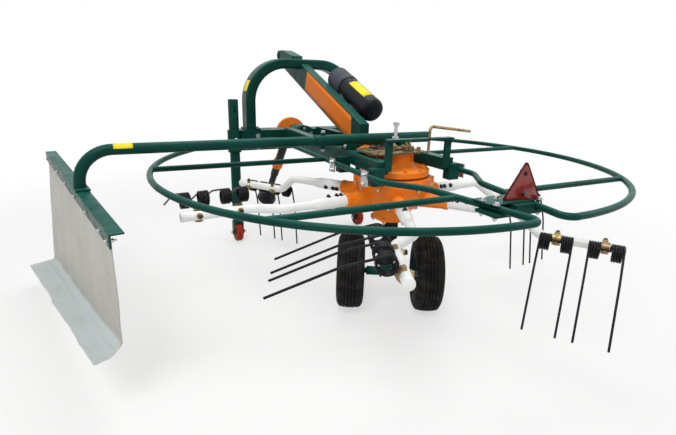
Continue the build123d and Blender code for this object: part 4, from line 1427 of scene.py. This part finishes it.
@dataclass
class Rotor:
    """Hub, six cranked arms and their double spring tines.

    Attributes:
        first: Azimuth of the first arm in degrees.
        arm_z: Height of the arms' axes.
        rolls: Turn of each arm about its own axis in degrees.
        crank: Offset of the arm's outer run.
        arm_end: Outer end of the arm.
        clamps: Places of the tine clamps along the arm.
        coil_at: Coil axis, along the crank's side and to the trailing side.
        loop_at: Place of the loop between a pair's coils.
        coil_start: Distance from the clamp's middle to the coil's first turn.
        leg_angle: Angle at which the wire leaves the coil, in degrees.
        leg_knee: Bend of the leg.
        leg_tip: Tip of the leg.
        knee_radius: Distance from the knee at which its bend starts.
        coil_radius: Mean radius of a coil.
        wire: Wire diameter.
        wire_gap: Gap between two turns.
        turns: Turns of a coil.
        turn_steps: Points on a turn.
        root_bolts_at: Places of the bolts through the arm's root sleeve.
        ring_circle: Radius of the bolts round the hub's ring.
        bearing_circle: Radius of the bolts round its lower bearing.
        socket_circle: Radius of the bolts beside the sockets.
        saddle_inner: Inner radius of a saddle.
        saddle_outer: Outer radius of a saddle.
        saddle_flat: Distance to a saddle's flat.
        saddle_sweep: How far a saddle reaches round the tube to each side, in degrees.
    """

    first: float = 25.0
    arm_z: float = 630.0
    rolls: tuple[float, ...] = (15.0, 28.0, 50.0, 85.0, 85.0, 25.0)
    crank: float = 100.0
    arm_end: float = 1065.0
    clamps: Pair = (806.0, 990.0)
    coil_at: Pair = (162.0, 60.0)
    loop_at: Pair = (140.0, 36.0)
    coil_start: float = 20.0
    leg_angle: float = 86.0
    leg_knee: Pair = (300.0, 68.0)
    leg_tip: Pair = (545.0, -20.0)
    knee_radius: float = 26.0
    coil_radius: float = 32.5
    wire: float = 9.2
    wire_gap: float = 0.15
    turns: int = 4
    turn_steps: int = 22
    root_bolts_at: Point = (322.0, 346.0, 392.0)
    ring_circle: float = 198.0
    bearing_circle: float = 97.0
    socket_circle: float = 150.0
    saddle_inner: float = 21.3
    saddle_outer: float = 28.0
    saddle_flat: float = 30.0
    saddle_sweep: float = 100.0

    def arm(self, number: int) -> Matrix:
        """Matrix of an arm: +X outward, -Z the crank's side, -Y the trailing side."""
        azimuth = self.first + 60 * number
        return (Matrix.Translation((0, 0, self.arm_z)) @ turned(90 - azimuth)
                @ turned(-self.rolls[number], "X"))

    def build(self) -> None:
        """Dress hub and arms, wind the tines and clamp them."""
        paint_nodes(Paint.GEAR, "rotor_hub")
        for number in range(6):
            paint_nodes(Paint.ARM, f"rotor_arm_{number + 1}")
            self.tines(number)
            self.arm_bolts(number)
        self.clamp_set()
        self.hub_bolts()
        self.socket_lips()

    @staticmethod
    def across(x: float, place: Sequence[float]) -> Vector:
        """Point at x along the arm from a place across it."""
        return Vector((x, -place[1], -place[0]))

    def half_pair(self, middle: float, side: int) -> list[Vector]:
        """Centre line from the middle of the loop through one coil to its leg's tip.

        Args:
            middle: Place of the clamp along the arm.
            side: 1 for the outer coil, -1 for the inner one.

        Returns:
            Points of the wire.
        """
        loop_down, loop_back = self.loop_at
        coil_down, coil_back = self.coil_at
        start = math.atan2(loop_back - coil_back, loop_down - coil_down)
        start += math.tau
        sweep = (start - math.radians(self.leg_angle)) + math.tau * self.turns
        run = sweep / math.tau * (self.wire + self.wire_gap)
        loop = [self.across(middle, (loop_down - 12, loop_back - 14)),
                self.across(middle + side * 11, (loop_down - 6, loop_back - 7))]
        coil = []
        steps = int(self.turn_steps * sweep / math.tau)
        for step in range(steps + 1):
            share = step / steps
            angle = start - sweep * share
            coil.append(self.across(middle + side * (self.coil_start + run * share),
                                    (coil_down + self.coil_radius * math.cos(angle),
                                     coil_back + self.coil_radius * math.sin(angle))))
        out = middle + side * (self.coil_start + run)
        leg = [coil[-1], self.across(out, self.leg_knee), self.across(out, self.leg_tip)]
        return loop + coil + rounded(leg, self.knee_radius, 8)[1:]

    def tines(self, number: int) -> None:
        """Wind the arm's two double tines, each from one wire.

        Args:
            number: Arm number from 0.
        """
        draft = MeshDraft()
        for middle in self.clamps:
            path = self.half_pair(middle, -1)[::-1] + self.half_pair(middle, 1)[1:]
            draft.wire(path, self.wire / 2, 10, self.arm(number))
        piece = draft.build(f"wound_tines_{number + 1}", Paint.SPRING, "rotor", smooth=50)
        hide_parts(f"tines_{number + 1}")

    def clamp_set(self) -> None:
        """Cast saddles on the coils' side of every arm, and the bolts that draw them up."""
        saddles, heads = MeshDraft(), MeshDraft()
        collar = [(0.01, 0), (14.5, 0), (14.5, 3), (11.5, 4), (11.5, 9), (9.5, 10), (0.01, 10)]
        for number in range(6):
            for middle in self.clamps:
                place = self.arm(number) @ Matrix.Translation((middle, 0, -self.crank))
                self.saddle(saddles, place)
                saddles.lathe(collar, 24, place @ at(0, 0, 19.5))
                heads.bolt(place @ at(0, 0, 29.0), 17, washer=False)
                saddles.bolt(place @ at(0, -14, -30, (0, -0.45, -1)), 17, stub=4)
        piece = saddles.build("clamp_saddles", Paint.GOLD, "rotor", bevel=0.8)
        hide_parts("tine_clamps")
        heads.build("clamp_bolts", Paint.BLACKED, "rotor")

    def saddle(self, draft: MeshDraft, place: Matrix) -> None:
        """One saddle: a half ring that hugs the tube, flat where the wire is held.

        Args:
            draft: Mesh that takes the saddle.
            place: Matrix at the arm's centre line, +X outward.
        """
        # Drawn with +X toward the coils and extruded along the arm.
        across = place @ turned(90, "Y")
        steps = 24
        # The saddle itself, and the thicker rib round its middle.
        for half_width, swell in ((17.0, 0.0), (9.0, 1.6)):
            outer, inner = [], []
            for step in range(steps + 1):
                angle = math.radians(-self.saddle_sweep + 2 * self.saddle_sweep * step / steps)
                reach = self.saddle_outer + swell
                if math.cos(angle) > 0.85:
                    reach = (self.saddle_flat + swell) / math.cos(angle) * 0.9
                outer.append((reach * math.cos(angle), reach * math.sin(angle)))
                inner.append((self.saddle_inner * math.cos(angle), self.saddle_inner * math.sin(angle)))
            draft.prism(outer + inner[::-1], -half_width, half_width, across)

    def arm_bolts(self, number: int) -> None:
        """Blacked bolts through the arm's root sleeve, and the arm's end cap.

        Args:
            number: Arm number from 0.
        """
        draft = MeshDraft()
        place = self.arm(number)
        for x in self.root_bolts_at:
            for way in (-1, 1):
                draft.bolt(place @ at(x, way * 29.2, 0, (0, way, 0)), 15)
        draft.build(f"root_bolts_{number + 1}", Paint.BLACKED, "rotor")
        cap = MeshDraft()
        cap.lathe([(0.01, 3.5), (14, 3.5), (19, 2), (21.2, -1.5), (21.8, -4), (21.8, -18),
                   (21.2, -18), (0.01, -18)], 32, place @ at(self.arm_end, 0, -self.crank, (1, 0, 0)))
        cap.build(f"arm_end_{number + 1}", Paint.ARM, "rotor", smooth=40)

    def hub_bolts(self) -> None:
        """Bolts round the hub's ring and lower bearing and beside its sockets."""
        draft = MeshDraft()
        for number in range(6):
            azimuth = math.radians(90 - (self.first + 60 * number) - 30)
            for reach, height, across, stub in ((self.ring_circle, 698, 15, 4),
                                                (self.bearing_circle, 500, 15, 0)):
                draft.bolt(at(reach * math.cos(azimuth), reach * math.sin(azimuth), height,
                              (0, 0, -1)), across, stub=stub)
            for lean in (-0.26, 0.26):
                x, y = math.cos(azimuth + lean), math.sin(azimuth + lean)
                draft.bolt(at(self.socket_circle * x, self.socket_circle * y, 589, (x, y, -1.3)), 13)
        draft.build("hub_bolts", Paint.ZINC, "rotor")

    def socket_lips(self) -> None:
        """Machined lips of the hub's sockets."""
        draft = MeshDraft()
        for number in range(6):
            draft.lathe([(30.2, 0), (34.2, 0), (37, 4), (37, 22), (35, 26), (30.2, 26)], 36,
                        self.arm(number) @ at(274, 0, 0, (1, 0, 0)))
        draft.build("socket_lips", Paint.GEAR, "rotor", smooth=40)


@dataclass
class Curtain:
    """Swath curtain: arm, angle bar and hung canvas.

    Attributes:
        near: Rear end of the bar's upper middle line.
        far: Front end of that line.
        flange: Width of the angle's flanges.
        flange_thick: Thickness of the flanges.
        bolt_shares: Places of the bolts, in shares of half the bar's length from its middle.
        arm_y: Place of the arm along the machine.
        arm_z: Height of the arm.
        tube: Diameter of the arm.
        rear_drop: Drop to the fold, outward lean, reach and fall of the hem at the rear.
        front_drop: The same at the front.
        end_gap: Distance from the bar's ends to the canvas.
        thick: Thickness of the cloth.
        columns: Faces along the cloth.
        rows: Faces down the cloth.
        cord_at: Place of the hem's cord, as a share of the way down.
        fold_reach: How far from the fold the cloth is drawn round.
        fold_soft: Softness of the fold at the front, and what the rear has more.
        billow: How far the upright cloth swells.
        waves: Height, pace along the bar and start of each ripple in the skirt.
        crumple: Height of the irregular creasing.
        crease: Distance past the fold, width and height of the crease along the skirt.
    """

    near: Point = (-1318.0, -381.0, 710.0)
    far: Point = (-1608.0, 1009.0, 774.0)
    flange: float = 50.0
    flange_thick: float = 6.0
    bolt_shares: tuple[float, ...] = (0.955, 0.80, 0.48, 0.16, -0.16, -0.48, -0.80, -0.955)
    arm_y: float = 197.0
    arm_z: float = 895.0
    tube: float = 48.3
    rear_drop: tuple[float, ...] = (462.0, 2.0, 100.0, 16.0)
    front_drop: tuple[float, ...] = (642.0, 54.0, 121.0, 8.0)
    end_gap: float = 12.0
    thick: float = 2.2
    columns: int = 150
    rows: int = 96
    cord_at: float = 0.985
    fold_reach: float = 150.0
    fold_soft: Pair = (24.0, 58.0)
    billow: float = 7.0
    waves: tuple[Point, ...] = ((9.0, 21.0, 1.3), (6.0, 37.0, 0.0), (3.0, 63.0, 2.0))
    crumple: float = 5.0
    crease: Point = (34.0, 11.0, 9.0)

    def bar(self) -> Matrix:
        """Frame of the angle bar.

        Returns:
            Matrix at its middle: +X outward from the machine, +Y up, +Z to the front.
        """
        near, far = Vector(self.near), Vector(self.far)
        along = (far - near).normalized()
        outward = Vector((-along.y, along.x, 0)).normalized()
        up = along.cross(outward)
        turn = Matrix((outward, up, along)).transposed().to_4x4()
        return Matrix.Translation((near + far) / 2) @ turn

    def half(self) -> float:
        """Half the length of the bar."""
        return (Vector(self.far) - Vector(self.near)).length / 2

    def build(self) -> None:
        """Dress arm and bar, hang the canvas and bolt it."""
        paint_nodes(Paint.FRAME, "curtain_arm")
        paint_nodes(Paint.FRAME, "curtain_bar", soft=1.2)
        self.canvas()
        self.hem_cord()
        self.flange_bolts()
        self.arm_label()

    @staticmethod
    def along(corners: Sequence[Vector], place: float) -> Vector:
        """Point of an unrounded run at a distance from its start.

        Args:
            corners: Corners of the run.
            place: Distance, kept within the run.

        Returns:
            The point.
        """
        for start, end in zip(corners, corners[1:]):
            size = (end - start).length
            if place <= size or end is corners[-1]:
                return start + (end - start) * min(max(place, 0.0) / size, 1.0)
            place -= size
        return corners[-1]

    def hang(self, front: float, down: float) -> Vector:
        """Point of the canvas in the bar's frame.

        Args:
            front: Share of the way to the front end.
            down: Share of the way down to the hem's edge.

        Returns:
            The point in millimetres.
        """
        drop, lean, reach, fall = (rear + (ahead - rear) * front
                                   for rear, ahead in zip(self.rear_drop, self.front_drop))
        top = self.flange / 2 - self.flange_thick - 2.5
        corners = [Vector((top, -8, 0)), Vector((top, -54, 0)), Vector((top + lean, 3 - drop, 0)),
                   Vector((top + lean + reach, 3 - drop - fall, 0))]
        lengths = [(b - a).length for a, b in zip(corners, corners[1:])]
        total, hem = sum(lengths), lengths[-1]
        place = down * total
        past_fold = place - (total - hem)
        # The fold is soft at the rear and sharper toward the front.
        near_fold = max(0.0, 1.0 - abs(past_fold) / self.fold_reach)
        soft = self.fold_soft[0] + self.fold_soft[1] * (1.0 - front) ** 2
        spread = min(soft * near_fold, place, total - place)
        samples = [self.along(corners, place + spread * k / 4) for k in range(-4, 5)]
        point = sum(samples, Vector()) / len(samples)
        # The ripples start a little above the fold and grow toward the hem.
        lead = 60.0
        below = max(0.0, (past_fold + lead) / (hem + lead))
        above = max(0.0, min(1.0, place / (total - hem))) * (1.0 - below)
        billow = self.billow * math.sin(front * 5.2 + 0.6) * above ** 2
        # The middle ripple slants: it starts later the further down it is.
        starts = (self.waves[0][2], self.waves[1][2] + 4.0 * below, self.waves[2][2])
        ripple = sum(height * math.sin(front * pace + start)
                     for (height, pace, _), start in zip(self.waves, starts)) * below
        crumple = noise.fractal(Vector((front * 9.0, down * 5.0, 2.7)), 1.0, 2.1, 4)
        loose = self.crumple * crumple * min(1.0, place / 90.0) * (0.5 + near_fold + 0.7 * below)
        # The crease dies out toward the rear.
        crease_at, wide, high = self.crease
        fade = min(1.0, max(0.0, front * 2.4 - 0.5))
        ripple += high * (math.exp(-((past_fold - crease_at) / wide) ** 2) * fade)
        held = min(1.0, place / 60)
        return point + Vector((billow + loose * 0.8, (ripple * 0.7 + loose * 0.5) * held * below, 0))

    def canvas(self) -> None:
        """Canvas as one smooth cloth with a turned-out, rippled hem."""
        half = self.half() - self.end_gap
        draft = MeshDraft()

        def surface(front: float, down: float) -> Vector:
            """Point of the cloth, its front edge bowed a little.

            Args:
                front: Share of the way to the front end.
                down: Share of the way down.

            Returns:
                The point in the bar's frame.
            """
            point = self.hang(front, down)
            bow = 10.0 * math.sin(math.pi * down) * ((front - 0.5) * 2) ** 5
            point.z = (front * 2 - 1) * half + bow
            draft.layout.append((front * 1.398, down * 0.70))
            return point

        draft.sheet(self.columns, self.rows, surface, self.bar())
        cloth = draft.build("canvas_sheet", Paint.CANVAS, "curtain", smooth=60, thickness=self.thick)
        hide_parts("curtain_sheet")

    def hem_cord(self) -> None:
        """Cord that stiffens the hem's edge."""
        half = self.half() - self.end_gap
        line = []
        for step in range(self.columns + 1):
            point = self.hang(step / self.columns, self.cord_at)
            point.z = (step / self.columns * 2 - 1) * half
            line.append(self.bar() @ point)
        draft = MeshDraft()
        draft.wire(line, 2.4, 6)
        draft.build("hem_cord", Paint.CANVAS, "curtain", smooth=60)

    def flange_bolts(self) -> None:
        """Bolts through the upright flange, with nuts inside."""
        draft = MeshDraft()
        face = self.flange / 2
        for share in self.bolt_shares:
            z = share * self.half()
            draft.bolt(self.bar() @ at(face, -33, z, (1, 0, 0)), 11)
            draft.bolt(self.bar() @ at(face - 11.4, -33, z, (-1, 0, 0)), 13, stub=9)
        draft.build("flange_bolts", Paint.ZINC, "curtain")

    def arm_label(self) -> None:
        """Blank yellow label round the arm near its bend."""
        draft = MeshDraft()
        reach = self.tube / 2 + 0.4

        def surface(share: float, across: float) -> Point:
            """Point of the label, 76 mm long and 84 degrees round."""
            angle = math.radians(-6 + 84 * across)
            return (-1296 + 76 * share, self.arm_y - reach * math.sin(angle),
                    self.arm_z + reach * math.cos(angle))

        draft.sheet(4, 16, surface)
        draft.build("arm_label", Paint.YELLOW, "curtain", thickness=0.6)


@dataclass
class DriveShaft:
    """Hanging drive shaft in its plastic guards.

    Attributes:
        hinge_y: Place of the universal joint.
        input_z: Its height.
        slope: Slope below level in degrees.
        bell_start: Where the bell widens from the guard, along the shaft.
        bell_end: Where it has its full size.
        guard: Radius of the guard at the bell's start.
        bell: Radius of the bell at its end.
        bell_ribs: Places of the bell's ribs.
        cone_ribs: Places of the joint cone's ribs.
        collar_at: Place of the collar's screws.
        collar: Radius of the collar.
    """

    hinge_y: float = 1570.0
    input_z: float = 768.0
    slope: float = 49.0
    bell_start: float = 812.0
    bell_end: float = 896.0
    guard: float = 44.0
    bell: float = 76.0
    bell_ribs: tuple[float, ...] = (838.0, 852.0, 866.0, 880.0)
    cone_ribs: tuple[float, ...] = (84.0, 96.0, 108.0, 120.0, 132.0)
    collar_at: float = 408.0
    collar: float = 46.0

    def frame(self) -> Matrix:
        """Matrix whose +Z runs down the shaft."""
        return Matrix.Translation((0, self.hinge_y, self.input_z)) @ turned(-90 - self.slope, "X")

    def build(self) -> None:
        """Dress the shaft and add the guards' ribs and the collar's screws."""
        paint_nodes(Paint.PLASTIC, "pto_outer_guard", "pto_inner_guard")
        paint_nodes(Paint.COLLAR, "pto_collar")
        paint_nodes(Paint.STEEL, "pto_yoke")
        ribs = MeshDraft()
        for level in self.bell_ribs:
            share = (level - self.bell_start) / (self.bell_end - self.bell_start)
            reach = self.guard + share * (self.bell - self.guard)
            ribs.lathe([(reach - 2, level - 3), (reach + 3.2, level - 2), (reach + 4.4, level + 2),
                        (reach - 1, level + 3)], 48, self.frame())
        ribs.build("bell_ribs", Paint.PLASTIC, "pto_inner", smooth=50)
        rings = MeshDraft()
        for level in self.cone_ribs:
            # The cone narrows by 15 mm over 88 mm.
            reach = 50 - (level - 62) / 88 * 15
            rings.lathe([(reach - 3, level - 3), (reach + 3, level - 1.5), (reach + 3, level + 1.5),
                         (reach - 3, level + 3)], 40, self.frame())
        rings.build("cone_ribs", Paint.PLASTIC, "pto_shaft", smooth=50)
        screws = MeshDraft()
        for x, y in circle(3):
            screws.bolt(self.frame() @ at(self.collar * x, self.collar * y, self.collar_at, (x, y, 0)),
                        8, washer=False)
        screws.build("collar_screws", Paint.BLACKED, "pto_shaft")


@dataclass
class Studio:
    """Pale floor, soft light and the camera.

    Attributes:
        eye: Camera place in the machine's frame, millimetres.
        azimuth: Heading in degrees clockwise from straight ahead.
        pitch: Degrees below level.
        roll: Degrees clockwise.
        focal: Focal length in millimetres.
        sensor: Width of the sensor in millimetres.
        floor_reach: Half the floor's side in metres.
        floor_paling: Distances in metres at which the floor starts and ends to pale.
        floor_start: Share of white at the first distance.
        ambient: Light from all round, as a share of white.
        lamps: Name, place and target in metres from the rotor's axis, side in metres and
            power in watts of each lamp.
    """

    eye: Point = (-1298.0, -1928.0, 1222.0)
    azimuth: float = 26.9
    pitch: float = 17.58
    roll: float = 1.668
    focal: float = 23.96
    sensor: float = 36.0
    floor_reach: float = 60.0
    floor_paling: Pair = (1.6, 4.2)
    floor_start: float = 0.6
    ambient: float = 0.42
    lamps: tuple[tuple[str, Point, Point, float, float], ...] = (
        ("key", (-3.2, -3.0, 5.6), (0, 0, 0.5), 2.6, 210.0),
        ("fill", (4.8, -2.6, 3.6), (0, 0.2, 0.6), 3.0, 60.0),
        ("top", (0.4, 1.6, 5.6), (0, 0.4, 0.5), 2.6, 130.0),
    )

    def build(self) -> None:
        """Set up everything round the machine."""
        self.floor()
        self.world()
        for lamp in self.lamps:
            self.lamp(*lamp)
        self.camera()
        bpy.context.scene.view_settings.view_transform = "Standard"

    @staticmethod
    def seen_directly(tree: bpy.types.NodeTree) -> Socket:
        """Tell rays from the camera, or that glass and metal reflect, from lighting rays.

        Args:
            tree: Node tree that takes the nodes.

        Returns:
            1 for such rays, otherwise 0.
        """
        path = add_node(tree, "LightPath").outputs
        seen = path["Is Camera Ray"]
        for other in ("Is Glossy Ray", "Is Transmission Ray"):
            seen = add_node(tree, "Math", {"operation": "MAXIMUM"}, {0: seen, 1: path[other]}).outputs[0]
        return seen

    def floor(self) -> None:
        """Wide pale floor that keeps a soft shadow."""
        mesh = bpy.data.meshes.new("floor")
        far = self.floor_reach
        mesh.from_pydata([(-far, -far, 0), (far, -far, 0), (far, far, 0), (-far, far, 0)],
                         [], [(0, 1, 2, 3)])
        piece = bpy.data.objects.new("floor", mesh)
        bpy.context.scene.collection.objects.link(piece)
        made = bpy.data.materials.new("pale_floor")
        made.use_nodes = True
        tree = made.node_tree
        tree.nodes.clear()
        matt = add_node(tree, "BsdfDiffuse", {"Color": linear("#e9e9e8")})
        glow = add_node(tree, "Emission", {"Color": WHITE, "Strength": 1.0})
        # The floor pales with distance from the machine until it is the background's own white.
        place = add_node(tree, "TexCoord").outputs["Object"]
        away = add_node(tree, "VectorMath", {"operation": "LENGTH"}, {0: place}).outputs["Value"]
        paling = add_node(tree, "MapRange",
                          {"interpolation_type": "SMOOTHSTEP",
                           **limits(self.floor_start, 1.0, *self.floor_paling)}, {"Value": away})
        share = add_node(tree, "Math", {"operation": "MULTIPLY"},
                         {0: self.seen_directly(tree), 1: paling.outputs["Result"]})
        mixed = add_node(tree, "MixShader",
                         links={0: share.outputs[0], 1: matt.outputs[0], 2: glow.outputs[0]})
        add_node(tree, "OutputMaterial", links={"Surface": mixed.outputs[0]})
        mesh.materials.append(made)

    def world(self) -> None:
        """White behind the machine, plain soft light from all round."""
        world = bpy.data.worlds.new("studio")
        bpy.context.scene.world = world
        world.use_nodes = True
        tree = world.node_tree
        tree.nodes.clear()
        strength = add_node(tree, "MapRange", limits(self.ambient, 1.0, 0.0, 1.0),
                            {"Value": self.seen_directly(tree)})
        light = add_node(tree, "Background", {"Color": WHITE}, {"Strength": strength.outputs["Result"]})
        add_node(tree, "OutputWorld", links={"Surface": light.outputs[0]})

    @staticmethod
    def lamp(name: str, place: Point, target: Point, size: float, power: float) -> None:
        """Square soft lamp.

        Args:
            name: Name of the lamp.
            place: Where it hangs, metres from the rotor's axis.
            target: What it points at.
            size: Side in metres.
            power: Power in watts.
        """
        data = bpy.data.lights.new(name, "AREA")
        data.size = size
        data.energy = power
        made = bpy.data.objects.new(name, data)
        bpy.context.scene.collection.objects.link(made)
        made.location = Vector(place) + AXIS
        aim = Vector(target) - Vector(place)
        made.rotation_euler = aim.to_track_quat("-Z", "Y").to_euler()

    def camera(self) -> None:
        """Camera at the standing viewer's place."""
        heading, fall, lean = (math.radians(v) for v in (self.azimuth, self.pitch, self.roll))
        forward = Vector((math.sin(heading) * math.cos(fall), math.cos(heading) * math.cos(fall),
                          -math.sin(fall)))
        right = Vector((math.cos(heading), -math.sin(heading), 0))
        up = right.cross(forward)
        tilted_right = right * math.cos(lean) + up * math.sin(lean)
        tilted_up = up * math.cos(lean) - right * math.sin(lean)
        data = bpy.data.cameras.new("camera")
        data.sensor_width = self.sensor
        data.lens = self.focal
        data.dof.use_dof = False
        data.clip_end = 300.0
        made = bpy.data.objects.new("camera", data)
        bpy.context.scene.collection.objects.link(made)
        turn = Matrix((tilted_right, tilted_up, -forward)).transposed().to_4x4()
        made.matrix_world = Matrix.Translation(Vector(self.eye) * MM + AXIS) @ turn
        bpy.context.scene.camera = made


def main() -> None:
    """Build the studio and each sub-assembly in order."""
    logging.basicConfig(level=logging.INFO, format="%(name)s: %(message)s")
    for part in (Studio(), Headstock(), Frame(), GearHead(), PaperTube(), RunningGear(), Rotor(),
                 Curtain(), DriveShaft()):
        before = len(bpy.data.objects)
        part.build()
        LOG.info("%s: %d new objects", type(part).__name__, len(bpy.data.objects) - before)


if __name__ == "__main__":
    main()
